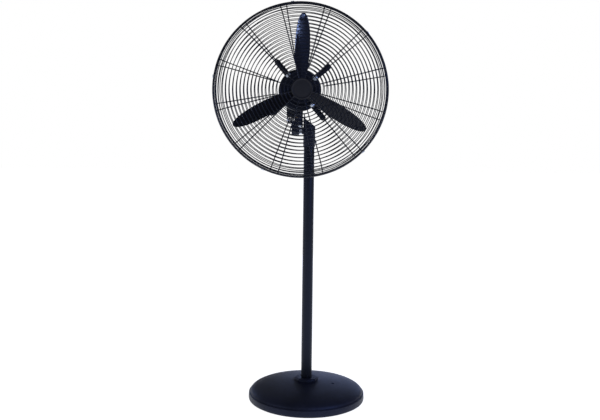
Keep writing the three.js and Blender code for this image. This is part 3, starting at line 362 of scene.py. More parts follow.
def rounded(profile, radius, segments=3):
    """The profile with each inner corner turned into a short curve."""
    points = [Vector(p) for p in profile]
    curve = [points[0]]
    for before, corner, after in zip(points, points[1:], points[2:]):
        reach = min(radius, (before - corner).length * 0.45, (after - corner).length * 0.45)
        start = corner + (before - corner).normalized() * reach
        end = corner + (after - corner).normalized() * reach
        for i in range(segments + 1):
            t = i / segments
            curve.append(start * (1 - t) ** 2 + corner * 2 * t * (1 - t) + end * t**2)
    curve.append(points[-1])
    return curve


def spin(bm, profile, axis, centre, steps=ROUND):
    """Turns a profile of (radius, place along the axis) round the axis through centre."""
    along = AXIS[axis]
    centre = Vector(centre) - along * Vector(centre).dot(along)
    corners = [bm.verts.new(centre + ACROSS[axis] * r + along * h) for r, h in profile]
    edges = [bm.edges.new(pair) for pair in zip(corners, corners[1:])]
    bmesh.ops.spin(
        bm,
        geom=corners + edges,
        cent=centre,
        axis=along,
        angle=2 * pi,
        steps=steps,
        use_merge=True,
    )
    bmesh.ops.remove_doubles(bm, verts=bm.verts, dist=SAME_POINT)
    return bm


def ring_profile(inner, outer, start, end, radius=0.0006):
    """A closed washer-shaped profile, starting and ending in the middle of its bore."""
    half = (start + end) / 2
    loop = [(inner, half), (inner, start), (outer, start), (outer, end), (inner, end), (inner, half)]
    return rounded(loop, radius)


def disc_profile(outer, start, end, radius=0.0006):
    """A profile for a disc or a rod, from its axis out and back."""
    return rounded([(0, start), (outer, start), (outer, end), (0, end)], radius)


def soften(bm, width, segments=2, angle=28):
    """Rounds the edges that are sharper than the angle."""
    sharp = [e for e in bm.edges if len(e.link_faces) == 2 and e.calc_face_angle(0) > radians(angle)]
    bmesh.ops.bevel(
        bm,
        geom=sharp,
        offset=width,
        segments=segments,
        profile=0.5,
        affect="EDGES",
        material=-1,
        clamp_overlap=True,
    )
    return bm


def join(bm, part):
    """Adds a finished shape to bm and frees it."""
    data = bpy.data.meshes.new("part")
    part.to_mesh(data)
    part.free()
    bm.from_mesh(data)
    bpy.data.meshes.remove(data)
    return bm


# %% Copying, showing and carving
def cad_copy(node, width=0.0008, segments=2):
    """The CAD node's shape, its flat faces made whole again and its edges rounded."""
    bm = bmesh.new()
    bm.from_mesh(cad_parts[node].data)
    bmesh.ops.remove_doubles(bm, verts=bm.verts, dist=1e-6)
    bmesh.ops.dissolve_limit(bm, angle_limit=radians(1), verts=bm.verts, edges=bm.edges)
    return soften(bm, width, segments)


def show(bm, name, body, finish, replaces=(), sharp=38, flat_from=1.0):
    """Makes the piece's object, shades it, ties it to its body and finish, and hides the CAD nodes it
    replaces.

    Faces with more area than flat_from, in square metres, are shaded flat.
    """
    bmesh.ops.recalc_face_normals(bm, faces=bm.faces)
    for face in bm.faces:
        face.smooth = face.calc_area() < flat_from
    for edge in bm.edges:
        edge.smooth = len(edge.link_faces) == 2 and edge.calc_face_angle(0) < radians(sharp)
    mesh = bpy.data.meshes.new(name)
    bm.to_mesh(mesh)
    bm.free()
    mesh.materials.append(finish)
    piece = bpy.data.objects.new(name, mesh)
    bpy.context.scene.collection.objects.link(piece)
    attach(piece, body)
    if replaces:
        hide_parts(*replaces)
    print(f"{name}: {len(mesh.polygons)} faces")
    return piece


def carve(piece, cutter):
    """Cuts the shape in the cutter out of a finished piece."""
    data = bpy.data.meshes.new("cutter")
    cutter.to_mesh(data)
    cutter.free()
    tool = bpy.data.objects.new("cutter", data)
    bpy.context.scene.collection.objects.link(tool)
    boolean = piece.modifiers.new("cut", "BOOLEAN")
    boolean.object = tool
    boolean.solver = "EXACT"
    shaped = bpy.data.meshes.new_from_object(piece.evaluated_get(bpy.context.evaluated_depsgraph_get()))
    piece.modifiers.clear()
    old = piece.data
    piece.data = shaped
    bpy.data.meshes.remove(old)
    bpy.data.objects.remove(tool)
    bpy.data.meshes.remove(data)


# %% [markdown]
# ## The base
# It is a shallow iron dome with a rolled side wall, cast as one piece. The crease where wall meets dome
# catches the light all the way round, so the profile keeps it crisp while the rest is smooth.

# %% The dome's line
RIDGE_Z = 33 * MM
DOME_RISE = 51 * MM
FLAT_R = 56 * MM
STOPS = 26
base_r = high("base_casting").x
ridge_r = base_r - 7 * MM
collar_foot = high("base_casting").z
foot_z = low("base_casting").z


def dome_z(r):
    """The dome's height at a radius: steep at the ridge, and nearly flat under the collar."""
    return RIDGE_Z + DOME_RISE * (1 - (r / ridge_r) ** 1.5) ** 0.45


# %% Base casting
wall = [(base_r - 9 * MM, foot_z + 4 * MM), (base_r - 9 * MM, foot_z), (base_r - 1.5 * MM, foot_z)]
wall += [(base_r, foot_z + 6 * MM), (base_r - 1.2 * MM, RIDGE_Z - 2 * MM), (ridge_r, RIDGE_Z)]
base_profile = rounded(wall, 1.8 * MM)
for i in range(1, STOPS + 1):
    share = 1 - (i / STOPS) ** 1.6
    r = FLAT_R + (ridge_r - FLAT_R) * share
    base_profile.append((r, min(dome_z(r), collar_foot)))
bore_r = high("pole_tube").x + 1 * MM
base_profile += [(FLAT_R - 3 * MM, collar_foot), (bore_r, collar_foot)]
base_profile += [(bore_r, foot_z + 4 * MM), base_profile[0]]
base = spin(bmesh.new(), base_profile, "z", ORIGIN, BIG)
base_dome = show(base, "base_dome", "stand", CAST, ["base_casting"], sharp=60)

# %% Dimple in the dome
DIMPLE_R = 9 * MM
DIMPLE_AT = Vector((118, -32, 0)) * MM
dimple = bmesh.new()
bmesh.ops.create_uvsphere(dimple, u_segments=32, v_segments=24, radius=DIMPLE_R)
above = Vector((0, 0, dome_z(DIMPLE_AT.length) + DIMPLE_R / 2))
bmesh.ops.translate(dimple, vec=DIMPLE_AT + above, verts=dimple.verts)
carve(base_dome, dimple)

# %% Rubber pad
pad_r = high("floor_pad").x
pad = spin(bmesh.new(), disc_profile(pad_r, 0, high("floor_pad").z, 0.001), "z", ORIGIN, BIG)
show(pad, "rubber_foot", "stand", RUBBER, ["floor_pad"])

# %% Foot collar
collar_low = low("foot_collar").z
collar_high = high("foot_collar").z
collar_r = high("foot_collar").x
pole_r = high("pole_tube").x
chamfer = 5 * MM
collar_profile = [(pole_r + GAP, collar_low), (collar_r, collar_low)]
collar_profile += [(collar_r, collar_high - chamfer), (collar_r - chamfer, collar_high)]
collar_profile += [(pole_r + GAP, collar_high), (pole_r + GAP, collar_low)]
collar = spin(bmesh.new(), collar_profile, "z", ORIGIN, 8)
soften(collar, 1.0 * MM, 3)
show(collar, "octagon_flange", "stand", CAST, ["foot_collar"])

# %% [markdown]
# ## Pole and post head
# The pole is a drawn tube. The post head slips over its top end: a tube cut off at a slant, with a flat
# boss on its high side for the tilt bolt.

# %% Pole
POLE_WALL = 2.6 * MM
pole_low, pole_top = low("pole_tube").z, high("pole_tube").z
pole = spin(bmesh.new(), ring_profile(pole_r - POLE_WALL, pole_r, pole_low, pole_top), "z", ORIGIN)
show(pole, "pole", "stand", TUBE, ["pole_tube"])

# %% Post head
SLANT_LOW_Z = 1.229
SPARE = 40 * MM
post_low, post_high = low("post_head").z, high("post_head").z
post_r = high("post_head").y
post_in = pole_r + 0.35 * MM
uncut = ring_profile(post_in, post_r, post_low, post_high + SPARE, 1 * MM)
post = spin(bmesh.new(), uncut, "z", ORIGIN)
slant = Vector((post_high - SLANT_LOW_Z, 0, 2 * post_r)).normalized()
cut = bmesh.ops.bisect_plane(
    post,
    geom=post.verts[:] + post.edges[:] + post.faces[:],
    plane_co=(-post_r, 0, post_high),
    plane_no=slant,
    clear_outer=True,
)
rims = [e for e in cut["geom_cut"] if isinstance(e, bmesh.types.BMEdge)]
bmesh.ops.bridge_loops(post, edges=rims)
soften(post, 0.7 * MM, 2, 50)
tilt_z = middle("tilt_washer").z
boss_face = low("post_head").x
boss_r = high("tilt_washer").y
boss_profile = disc_profile(boss_r, boss_face, -post_in - 0.5 * MM, 1.2 * MM)
spin(post, boss_profile, "x", (0, 0, tilt_z), MIDDLING)
show(post, "slanted_post_head", "stand", CAST, ["post_head"], sharp=45)


# %% [markdown]
# ## Bright fasteners
# Hexagon heads are turned with six steps and then chamfered. A pan head with a slot is turned round and
# the slot is cut out of it, because a painted line would vanish from the side.


# %% Fastener helpers
def hexagon(bm, r, start, end, axis, centre):
    """A hexagon head; r is half the width across its flats."""
    part = bmesh.new()
    corner = r / cos(pi / 6)
    spin(part, [(0, start), (corner, start), (corner, end), (0, end)], axis, centre, 6)
    return join(bm, soften(part, 0.5 * MM, 2))


# %% Screws and nuts of the post and neck
SMALL_HEX_R = 6.4 * MM
clamp_low, clamp_high = low("post_clamp_screw"), high("post_clamp_screw")
clamp_at = middle("post_clamp_screw")
clamp_face = post_r + GAP
clamp = hexagon(bmesh.new(), SMALL_HEX_R, clamp_face, clamp_high.x - 0.6 * MM, "x", clamp_at)
spin(clamp, disc_profile(4 * MM, clamp_low.x, clamp_face + 1 * MM), "x", clamp_at, SMALL)
show(clamp, "post_screw", "stand", ZINC, ["post_clamp_screw"])

tilt_at = (0, 0, tilt_z)
bolt_low, bolt_high = low("tilt_bolt").x, high("tilt_bolt").x
bolt = hexagon(bmesh.new(), 11.2 * MM, bolt_low, bolt_low + 8 * MM, "x", tilt_at)
spin(bolt, disc_profile(8 * MM, bolt_low + 7 * MM, bolt_high, 0.001), "x", tilt_at, SMALL)
show(bolt, "tilt_screw", "stand", ZINC, ["tilt_bolt"])

washer_low, washer_high = low("tilt_washer").x, high("tilt_washer").x
washer = spin(
    bmesh.new(), ring_profile(8.3 * MM, boss_r, washer_low, washer_high), "x", tilt_at, MIDDLING
)
show(washer, "tilt_shim", "stand", ZINC, ["tilt_washer"])

jam_low, jam_high = low("tilt_jam_nut").x, high("tilt_jam_nut").x
jam = hexagon(bmesh.new(), 13.2 * MM, jam_low, jam_high, "x", tilt_at)
show(jam, "jam_nut", "stand", ZINC, ["tilt_jam_nut"])

king_at = middle("king_pin_screw")
king_low, king_high = low("king_pin_screw").y, high("king_pin_screw").y
neck_face = low("neck_block").y
king_screw = hexagon(bmesh.new(), SMALL_HEX_R, king_low, neck_face - 1 * MM, "y", king_at)
spin(king_screw, disc_profile(8 * MM, neck_face - 1.8 * MM, neck_face - GAP), "y", king_at, SMALL)
spin(king_screw, disc_profile(4 * MM, neck_face - 1 * MM, king_high), "y", king_at, SMALL)
show(king_screw, "neck_screw", "neck", ZINC, ["king_pin_screw"])

# %% [markdown]
# ## Neck and linkage
# The neck is one iron casting. Its CAD shape is right, so it only gets cast edges. The pins and the
# thrust washer keep their shape and take a finish.

# %% Neck
PANEL = 400 * MM * MM
neck = cad_copy("neck_block", 1.2 * MM, 3)
show(neck, "neck_casting", "neck", CAST, ["neck_block"], flat_from=PANEL)
show(cad_copy("link_rod", 0.8 * MM), "link_bar", "link", STEEL, ["link_rod"])
show(cad_copy("crank", 0.5 * MM), "crank_arm", "crank_set", STEEL, ["crank"])

# %% Link stud
pin_low, pin_high = low("link_pin").z, high("link_pin").z
pin_profile = [(0, pin_low), (5 * MM, pin_low), (5 * MM, pin_high - 2 * MM), (8 * MM, pin_high - 2 * MM)]
pin_profile += [(8 * MM, pin_high - 0.6 * MM), (6 * MM, pin_high), (0, pin_high)]
pin = spin(bmesh.new(), rounded(pin_profile, 0.4 * MM), "z", middle("link_pin"), SMALL)
show(pin, "link_stud", "neck", STEEL, ["link_pin"])

# %% [markdown]
# ## Motor
# Two diecast bells close a finned shell. The front bell has a stepped face with ribs and four bosses,
# which take the arms that hold the guard.

# %% Motor measures
head = middle("motor_shell")
motor_r = high("motor_shell").x - head.x
face_y = low("motor_front_bell").y + 2 * MM
seam_y = high("motor_front_bell").y
rear_seam_y = low("motor_rear_bell").y
back_y = high("motor_rear_bell").y
BOSS_RING = 84 * MM
SHAFT_HOLE_R = 11 * MM
WALL = 4 * MM
ARM_ANGLES = [radians(50 + 90 * i) for i in range(4)]


def on_head(r, angle, y):
    """A point of the head at a radius and an angle clockwise from the top, seen from the front."""
    return Vector((head.x + r * sin(angle), y, head.z + r * cos(angle)))


def add_block(bm, size, at, turn=None, bevel=0.0):
    """Adds a box of that size, turned about the head's axis when a turn is given."""
    part = bmesh.new()
    bmesh.ops.create_cube(part, size=1)
    bmesh.ops.scale(part, vec=size, verts=part.verts)
    if bevel:
        soften(part, bevel, 2)
    place = Matrix.Translation(at)
    if turn is not None:
        place = Matrix.Translation(at) @ Matrix.Rotation(turn, 4, "Y")
    bmesh.ops.transform(part, matrix=place, verts=part.verts)
    join(bm, part)


# %% Front bell
FRONT_RIBS = 16
inner_r = motor_r - WALL
bell_profile = [(SHAFT_HOLE_R, face_y + 5 * MM), (SHAFT_HOLE_R, face_y - 1.5 * MM)]
bell_profile += [(24 * MM, face_y - 1.5 * MM), (27 * MM, face_y + 2.5 * MM), (40 * MM, face_y + 4 * MM)]
bell_profile += [(62 * MM, face_y + 4 * MM), (66 * MM, face_y), (88 * MM, face_y)]
bell_profile += [(motor_r, face_y + 5 * MM), (motor_r, seam_y), (inner_r, seam_y)]
bell_profile += [(inner_r, face_y + 8 * MM), (SHAFT_HOLE_R, face_y + 8 * MM), (SHAFT_HOLE_R, face_y + 5 * MM)]
bell = spin(bmesh.new(), rounded(bell_profile, 1.5 * MM), "y", head)
for angle in ARM_ANGLES:
    boss_at = on_head(BOSS_RING, angle, 0)
    spin(bell, disc_profile(12 * MM, face_y - 2 * MM, seam_y - 6 * MM, 1 * MM), "y", boss_at, SMALL)
for i in range(FRONT_RIBS):
    angle = 2 * pi * (i + 0.5) / FRONT_RIBS
    rib_at = on_head(45 * MM, angle, face_y + 2.6 * MM)
    add_block(bell, (2.4 * MM, 4.5 * MM, 38 * MM), rib_at, angle, 0.6 * MM)
show(bell, "front_bell", "head", DIECAST, ["motor_front_bell"], sharp=40)

# %% Shell with cooling fins
FINS = 48
shell_profile = ring_profile(motor_r - 6 * MM, motor_r - 3 * MM, seam_y + GAP, rear_seam_y - GAP)
shell = spin(bmesh.new(), shell_profile, "y", head)
fin_length = rear_seam_y - seam_y - 3 * MM
for i in range(FINS):
    angle = 2 * pi * i / FINS
    fin_at = on_head(motor_r - 2.2 * MM, angle, (seam_y + rear_seam_y) / 2)
    add_block(shell, (1.8 * MM, fin_length, 3.6 * MM), fin_at, angle)
show(shell, "finned_shell", "head", DIECAST, ["motor_shell"], sharp=40)

# %% Rear bell
rear_profile = [(SHAFT_HOLE_R, back_y - 4 * MM), (SHAFT_HOLE_R, back_y), (34 * MM, back_y)]
rear_profile += [(38 * MM, back_y - 3 * MM), (74 * MM, back_y - 3 * MM), (78 * MM, back_y)]
rear_profile += [(motor_r - 5 * MM, back_y), (motor_r, back_y - 5 * MM), (motor_r, rear_seam_y)]
rear_profile += [(inner_r, rear_seam_y), (inner_r, back_y - 7 * MM), (SHAFT_HOLE_R, back_y - 7 * MM)]
rear_profile += [(SHAFT_HOLE_R, back_y - 4 * MM)]
rear = spin(bmesh.new(), rounded(rear_profile, 1.5 * MM), "y", head)

# %% Swivel foot and ribs of the rear bell
PIN_HOLE_R = 8.4 * MM
FOOT_R = 19 * MM
REAR_RIBS = 20
foot_low = low("motor_rear_bell").z
shell_low = head.z - motor_r
swivel = [(PIN_HOLE_R, foot_low + 2 * MM), (PIN_HOLE_R, foot_low), (FOOT_R, foot_low)]
swivel += [(FOOT_R, shell_low - 4 * MM), (FOOT_R + 2 * MM, shell_low + 8 * MM)]
swivel += [(PIN_HOLE_R, shell_low + 8 * MM), (PIN_HOLE_R, foot_low + 2 * MM)]
spin(rear, rounded(swivel, 1.2 * MM), "z", (head.x, 0, 0), MIDDLING)
web_size = (12 * MM, -rear_seam_y - 8 * MM, 22 * MM)
web_at = (head.x, (rear_seam_y + 6 * MM) / 2 - 2 * MM, foot_low + 18 * MM)
add_block(rear, web_size, web_at, None, 1.5 * MM)
for i in range(REAR_RIBS):
    angle = 2 * pi * i / REAR_RIBS
    rib_at = on_head(56 * MM, angle, back_y - 2.5 * MM)
    add_block(rear, (3 * MM, 5 * MM, 30 * MM), rib_at, angle, 0.6 * MM)
show(rear, "rear_bell", "head", DIECAST, ["motor_rear_bell"], sharp=40)

# %% [markdown]
# ## Guard arms
# Four flat straps reach out from the motor's bosses and lie behind the rear guard's wires. A slotted
# screw and a wide washer hold each one.


# %% Arms and their screws
ARM_WIDTH = 24 * MM
ARM_NEAR_R, ARM_FAR_R = 72 * MM, 167 * MM
SCREW_HEAD_R, SCREW_WASHER_R = 8.5 * MM, 11 * MM


def strap(angle, number):
    """A flat bar whose four upright corners are rounded before its edges are."""
    arm_low, arm_high = low(f"guard_arm_{number}").y, high(f"guard_arm_{number}").y
    thick = arm_high - arm_low
    bm = bmesh.new()
    bmesh.ops.create_cube(bm, size=1)
    bmesh.ops.scale(bm, vec=(ARM_WIDTH, thick, ARM_FAR_R - ARM_NEAR_R), verts=bm.verts)
    centre = Vector((0, (arm_low + arm_high) / 2, (ARM_NEAR_R + ARM_FAR_R) / 2))
    bmesh.ops.translate(bm, vec=centre, verts=bm.verts)
    upright = [e for e in bm.edges if abs((e.verts[0].co - e.verts[1].co).y) > thick / 2]
    bmesh.ops.bevel(
        bm, geom=upright, offset=8 * MM, segments=6, profile=0.5, affect="EDGES", material=-1
    )
    soften(bm, 0.8 * MM, 2, 50)
    turn = Matrix.Translation((head.x, 0, head.z)) @ Matrix.Rotation(angle, 4, "Y")
    bmesh.ops.transform(bm, matrix=turn, verts=bm.verts)
    show(bm, f"arm_strap_{number}", "head", STRAP, [f"guard_arm_{number}"])


def arm_screw(angle, number):
    """A domed head on a wide washer, turned as one shape, with a slot cut across it."""
    at = on_head(BOSS_RING, angle, 0)
    front = low(f"arm_screw_{number}").y
    seat = low("guard_arm_1").y - GAP
    shelf = seat - 2 * MM
    turned = [(0, front), (4 * MM, front + 0.2 * MM), (7 * MM, front + 1.2 * MM)]
    turned += [(SCREW_HEAD_R, front + 3 * MM), (SCREW_HEAD_R, shelf)]
    turned += [(SCREW_WASHER_R, shelf), (SCREW_WASHER_R, seat), (0, seat)]
    bm = spin(bmesh.new(), rounded(turned, 0.5 * MM), "y", at, MIDDLING)
    piece = show(bm, f"slotted_screw_{number}", "head", ZINC, [f"arm_screw_{number}"])
    slot = bmesh.new()
    add_block(slot, (24 * MM, 5 * MM, 2.2 * MM), at + Vector((0, front, 0)), angle + 0.9 * number)
    carve(piece, slot)


for number, angle in enumerate(ARM_ANGLES, 1):
    strap(angle, number)
    arm_screw(angle, number)

# %% [markdown]
# ## Wire guards
# Each guard is a set of rings on twelve spokes. Seen from the side the wires follow a flat stretch and
# then a quarter of an ellipse out to the rim. Even steps along that line give the rings their places, so
# they look closer together near the rim, as on the real guard.

# %% Guard outline
RIM_WIRE = 3.2 * MM
RING_WIRE = 1.75 * MM
SPOKE_WIRE = 2.3 * MM
SPOKES = 12
RIM_INSET = 3 * MM
BEND_STEPS = 48
rim_r = (high("guard_front").x - low("guard_front").x) / 2 - RIM_INSET


def guard_line(inner, bend, flat_y, rim_y):
    """Points of (radius, y) from the inner ring, along the flat and round the bend to the rim."""
    turns = [(pi / 2) * i / BEND_STEPS for i in range(BEND_STEPS + 1)]
    line = [Vector((inner, flat_y))]
    line += [Vector((bend + (rim_r - bend) * sin(t), rim_y + (flat_y - rim_y) * cos(t))) for t in turns]
    return line


def evenly(line, count):
    """count + 1 points at even steps along a line."""
    lengths = [(b - a).length for a, b in zip(line, line[1:])]
    step = sum(lengths) / count
    points, wanted, walked = [line[0]], step, 0
    for start, end, length in zip(line, line[1:], lengths):
        while wanted <= walked + length + 1e-9 and len(points) <= count:
            points.append(start.lerp(end, (wanted - walked) / length))
            wanted += step
        walked += length
    return points


def inside_of(line, depth):
    """The line moved into the cage by depth."""
    side = 1 if line[0].y < line[-1].y else -1
    moved = []
    for i, point in enumerate(line):
        before, after = line[max(i - 1, 0)], line[min(i + 1, len(line) - 1)]
        along = (after - before).normalized()
        moved.append(point + Vector((-along.y, along.x)) * depth * side)
    return moved


# %% Wires and rings
def wires(bm, paths, thickness):
    """Adds round wires along open paths of points."""
    curve = bpy.data.curves.new("wires", "CURVE")
    curve.dimensions = "3D"
    curve.bevel_depth = thickness
    curve.bevel_resolution = 2
    curve.use_fill_caps = True
    for path in paths:
        spline = curve.splines.new("POLY")
        spline.points.add(len(path) - 1)
        for point, place in zip(spline.points, path):
            point.co = (*place, 1)
    drawn = bpy.data.objects.new("wires", curve)
    bpy.context.scene.collection.objects.link(drawn)
    bpy.context.view_layer.update()
    mesh = bpy.data.meshes.new_from_object(drawn.evaluated_get(bpy.context.evaluated_depsgraph_get()))
    bm.from_mesh(mesh)
    bmesh.ops.remove_doubles(bm, verts=bm.verts, dist=SAME_POINT)
    bpy.data.objects.remove(drawn)
    bpy.data.curves.remove(curve)
    bpy.data.meshes.remove(mesh)


def ring(bm, r, y, thickness, sides=8):
    """Adds a round ring by spinning a small circle."""
    turns = [2 * pi * i / sides for i in range(sides + 1)]
    circle = [(r + thickness * cos(t), y + thickness * sin(t)) for t in turns]
    steps = 120 if r > 0.2 else 72
    spin(bm, circle, "y", head, steps)


# %% A whole guard
def guard(name, node, inner, bend, flat_y, rim_y, rings, first_spoke):
    """Draws the spokes just inside the line, then lays the rings and the thick rim on them."""
    line = guard_line(inner, bend, flat_y, rim_y)
    bm = bmesh.new()
    path = inside_of(line, RING_WIRE + SPOKE_WIRE - 0.5 * MM)
    path[0] = path[0] - Vector((2 * MM, 0))
    spokes = []
    for i in range(SPOKES):
        angle = radians(first_spoke + 360 / SPOKES * i)
        spokes.append([on_head(p.x, angle, p.y) for p in path])
    wires(bm, spokes, SPOKE_WIRE)
    for place in evenly(line, rings)[:-1]:
        ring(bm, place.x, place.y, RING_WIRE)
    ring(bm, rim_r, rim_y, RIM_WIRE, 12)
    return show(bm, name, "head", COATED_WIRE, [node], sharp=75)


# %% Both guards
front_flat = low("guard_front").y + RING_WIRE
front_rim = high("guard_front").y - RIM_INSET
rear_flat = high("guard_rear").y - RING_WIRE
rear_rim = low("guard_rear").y + RIM_INSET
guard("front_guard", "guard_front", 43 * MM, 300 * MM, front_flat, front_rim, 28, 15)
guard("rear_guard", "guard_rear", 106 * MM, 322 * MM, rear_flat, rear_rim, 19, 20)

# %% Rim clips
for i in range(1, 6):
    clip = cad_copy(f"rim_clip_{i}", 0.5 * MM)
    show(clip, f"spring_clip_{i}", "head", ZINC, [f"rim_clip_{i}"])

# %% Badge
badge_r = high("badge").x - head.x
badge_front = low("badge").y
badge_back = high("badge").y
badge_profile = [(0, badge_front + 1.2 * MM), (badge_r * 0.55, badge_front + 1.5 * MM)]
badge_profile += [(badge_r - 8 * MM, badge_front + 2.4 * MM), (badge_r - 5.5 * MM, badge_front)]
badge_profile += [(badge_r - 2 * MM, badge_front), (badge_r, badge_front + 2 * MM), (badge_r, badge_back)]
badge_profile += [(0, badge_back)]
badge = spin(bmesh.new(), rounded(badge_profile, 1 * MM), "y", head)
show(badge, "blank_badge", "head", PLASTIC, ["badge"])

# %% [markdown]
# ## Blades
# Each blade is a pitched paddle. A flat grid is bent into it: one direction runs out along the span, and
# the other goes across the chord. Two such skins, bulged apart, meet at the edges as a thin lens.

# %% Blade shape
BLADES = 3
BLADE_Y = -234 * MM
ROOT_R, WIDE_R, TIP_R = 40 * MM, 165 * MM, 327 * MM
WIDTH = 66 * MM
PITCH_ROOT, PITCH_TIP = radians(32), radians(19)
BLADE_PHASE = radians(1.4)
CAMBER = 0.05
BLADE_T = 2.6 * MM


def blade_width(r):
    if r < WIDE_R:
        return WIDTH * (1 - 0.42 * ((WIDE_R - r) / (WIDE_R - ROOT_R)) ** 1.3)
    return WIDTH * max(1 - ((r - WIDE_R) / (TIP_R - WIDE_R)) ** 2.7, 0) ** 0.5


def blade_point(r, across, lift):
    """A point on the blade that points up: across runs from -1 to 1, and lift is off the middle skin."""
    pitch = PITCH_ROOT + (PITCH_TIP - PITCH_ROOT) * (r - ROOT_R) / (TIP_R - ROOT_R)
    chord = blade_width(r) / cos(pitch)
    c = across * chord / 2
    n = lift + CAMBER * chord * (1 - across**2)
    return Vector((c * cos(pitch) - n * sin(pitch), BLADE_Y + c * sin(pitch) + n * cos(pitch), r))


def on_rotor(number):
    """Turns the blade that points up to its place on the rotor."""
    turn = 2 * pi * number / BLADES + BLADE_PHASE
    return Matrix.Translation((head.x, 0, head.z)) @ Matrix.Rotation(turn, 4, "Y")


# %% Blades
for number in range(BLADES):
    blade = bmesh.new()
    for side in (-1, 1):
        skin = bmesh.ops.create_grid(blade, x_segments=28, y_segments=64, size=1)
        for v in skin["verts"]:
            across = sin(v.co.x * pi / 2)
            r = ROOT_R + (TIP_R - ROOT_R) * sin((v.co.y + 1) * pi / 4)
            edge = max(1 - abs(across) ** 4, 0) ** 0.5
            tip = min((TIP_R - r) / (20 * MM), 1) ** 0.5
            v.co = blade_point(r, across, side * edge * tip * BLADE_T / 2)
    bmesh.ops.remove_doubles(blade, verts=blade.verts, dist=2e-5)
    bmesh.ops.holes_fill(blade, edges=[e for e in blade.edges if e.is_boundary], sides=0)
    bmesh.ops.transform(blade, matrix=on_rotor(number), verts=blade.verts)
    show(blade, f"paddle_{number + 1}", "rotor", BLADE, [f"blade_{number + 1}"], 55)

# %% Rivets
RIVET_R = 3.6 * MM
RIVET_PLACES = (52 * MM, 70 * MM, 88 * MM)
rivet_profile = [(0, -1.8 * MM), (2 * MM, -1.5 * MM), (RIVET_R, 0), (RIVET_R, 1 * MM), (0, 1 * MM)]
rivets = bmesh.new()
for number in range(BLADES):
    for r in RIVET_PLACES:
        rivet = spin(bmesh.new(), rounded(rivet_profile, 0.6 * MM), "y", ORIGIN, 20)
        seat = blade_point(r, 0, -BLADE_T / 2)
        tip_over = Matrix.Translation(seat) @ Matrix.Rotation(PITCH_ROOT, 4, "Z")
        bmesh.ops.transform(rivet, matrix=on_rotor(number) @ tip_over, verts=rivet.verts)
        join(rivets, rivet)
show(rivets, "blade_rivets", "rotor", DIECAST)

# %% Hub and nut
show(cad_copy("blade_hub", 1.0 * MM), "hub_casting", "rotor", DIECAST, ["blade_hub"])
show(cad_copy("hub_nut", 0.8 * MM), "spinner_nut", "rotor", DIECAST, ["hub_nut"])

# %% Shaft and its worm
WORM_PITCH = 4.79 * MM
WORM_ROOT_R, WORM_R = 5.8 * MM, 8.2 * MM
TAIL_R = 5 * MM
HALF_TURNS = 3
shaft_low, shaft_high = low("motor_shaft").y, high("motor_shaft").y
worm_mid = middle("worm_wheel").y
shaft_profile = [(0, shaft_low), (8 * MM, shaft_low), (8 * MM, shaft_low + 12 * MM)]
shaft_profile += [(10 * MM, shaft_low + 12.4 * MM), (10 * MM, back_y), (TAIL_R, back_y + 2 * MM)]
for i in range(-HALF_TURNS, HALF_TURNS):
    start = worm_mid + i * WORM_PITCH
    shaft_profile += [(WORM_ROOT_R, start), (WORM_R, start + 0.35 * WORM_PITCH)]
    shaft_profile += [(WORM_R, start + 0.65 * WORM_PITCH)]
shaft_profile += [(TAIL_R, worm_mid + HALF_TURNS * WORM_PITCH), (TAIL_R, shaft_high), (0, shaft_high)]
shaft = spin(bmesh.new(), rounded(shaft_profile, 0.4 * MM, 2), "y", head, MIDDLING)
show(shaft, "worm_shaft", "rotor", STEEL, ["motor_shaft"])

# %% [markdown]
# ## Oscillation drive and switch box
# These sit behind the motor. The housings keep their CAD shape with cast edges, and their covers get the
# screws that hold them.


# %% Cover screws
def cover_screws(name, places, y, r=3.2 * MM):
    """Small pan heads on a cover that faces backwards."""
    bm = bmesh.new()
    for x, z in places:
        profile = [(0, y + 2.2 * MM), (r * 0.6, y + 2.0 * MM), (r, y + 0.8 * MM), (r, y - 0.5 * MM)]
        profile += [(0, y - 0.5 * MM)]
        spin(bm, rounded(profile, 0.5 * MM), "y", (x, 0, z), 20)
    return show(bm, name, "head", ZINC)


# %% Screws of the gearbox lid
box_low, box_high = low("gearbox_lid"), high("gearbox_lid")
inset = 7 * MM
step_z = head.z - 40 * MM
gear_right = middle("worm_wheel").x + 26 * MM - inset
lid_places = [(box_low.x + inset, box_low.z + inset), (gear_right, box_low.z + inset)]
lid_places += [(box_low.x + inset, step_z), (box_low.x + inset, box_high.z - inset)]
lid_places += [(box_high.x - inset, step_z + inset), (box_high.x - inset, box_high.z - inset)]
cover_screws("lid_screws", lid_places, box_high.y)

# %% Screws of the switch cover
plate_low, plate_high = low("switch_cover"), high("switch_cover")
inset = 5 * MM
columns = (plate_low.x + inset, plate_high.x - inset)
corners = [(x, z) for x in columns for z in (plate_low.z + inset, plate_high.z - inset)]
cover_screws("switch_screws", corners, plate_high.y, 2.6 * MM)

# %% Housings
EDGE_WIDTHS = {"gearbox_housing": 1.5, "gearbox_lid": 1.0, "switch_box": 1.2, "switch_cover": 0.8}
for node, width in EDGE_WIDTHS.items():
    housing = cad_copy(node, width * MM, 3)
    show(housing, f"{node}_cast", "head", DIECAST, [node], flat_from=PANEL)

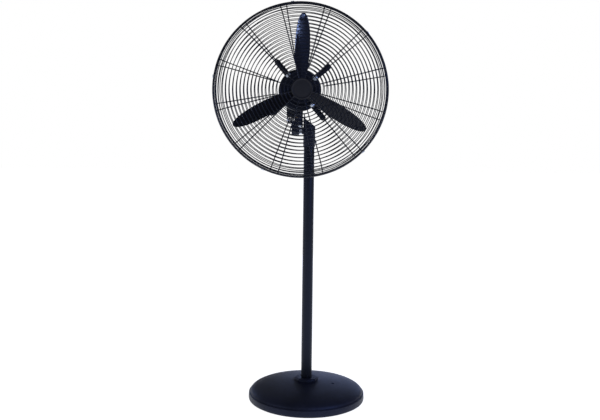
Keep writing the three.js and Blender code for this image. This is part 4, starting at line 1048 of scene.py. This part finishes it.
# %% Speed knob
SKIRT_R, SKIRT_HIGH = 15 * MM, 4 * MM
RIDGES = 24
RIDGE_RING = 14.6 * MM
knob_at = middle("speed_knob")
knob_face = high("speed_knob").y
skirt_y = high("switch_cover").y + GAP
bar_l = knob_face - skirt_y - SKIRT_HIGH
dial = spin(bmesh.new(), disc_profile(SKIRT_R, skirt_y, skirt_y + SKIRT_HIGH, 1 * MM), "y", knob_at, 64)
core_profile = disc_profile(11 * MM, skirt_y + 3 * MM, knob_face - 3 * MM, 1.5 * MM)
spin(dial, core_profile, "y", knob_at, MIDDLING)
bar_at = Vector((knob_at.x, knob_face - bar_l / 2, knob_at.z))
add_block(dial, (6 * MM, bar_l, 26 * MM), bar_at, None, 1.2 * MM)
for i in range(RIDGES):
    angle = 2 * pi * i / RIDGES
    out = Vector((sin(angle), 0, cos(angle))) * RIDGE_RING
    ridge_at = Vector((knob_at.x, skirt_y + SKIRT_HIGH / 2, knob_at.z)) + out
    add_block(dial, (1.2 * MM, 3 * MM, 1.6 * MM), ridge_at, angle)
show(dial, "speed_dial_knob", "speed_dial", PLASTIC, ["speed_knob"])

# %% Clutch knob and gland
STEM_R, GRIP_R = 5 * MM, 11 * MM
clutch_low, clutch_high = low("clutch_knob").z, high("clutch_knob").z
seat_z = high("gearbox_housing").z + GAP
grip = [(0, clutch_low), (STEM_R, clutch_low), (STEM_R, seat_z), (8 * MM, seat_z)]
grip += [(7 * MM, seat_z + 8 * MM), (GRIP_R, seat_z + 12 * MM)]
grip += [(GRIP_R, clutch_high - 2 * MM), (8 * MM, clutch_high), (0, clutch_high)]
clutch = spin(bmesh.new(), rounded(grip, 1 * MM), "z", middle("clutch_knob"), MIDDLING)
show(clutch, "clutch_pull_knob", "clutch", PLASTIC, ["clutch_knob"])
show(cad_copy("cable_gland", 0.5 * MM), "gland", "head", PLASTIC, ["cable_gland"])

# %% [markdown]
# ## Working parts
# What is inside keeps its CAD shape and takes the finish of its metal.

# %% Finishes of the inner pieces
INNER = {
    "pole_plug": STEEL,
    "base_bolt": STEEL,
    "tilt_nut": STEEL,
    "king_pin": STEEL,
    "thrust_washer": BRONZE,
    "stator_core": LAMINATED,
    "rotor_core": LAMINATED,
    "stator_winding": COPPER,
    "bearing_front": STEEL,
    "bearing_rear": STEEL,
    "worm_wheel": BRONZE,
    "rotary_switch": PALE,
    "run_capacitor": PALE,
}
for node, finish in INNER.items():
    for material_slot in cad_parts[node].material_slots:
        material_slot.material = finish
print("inner pieces", len(INNER))
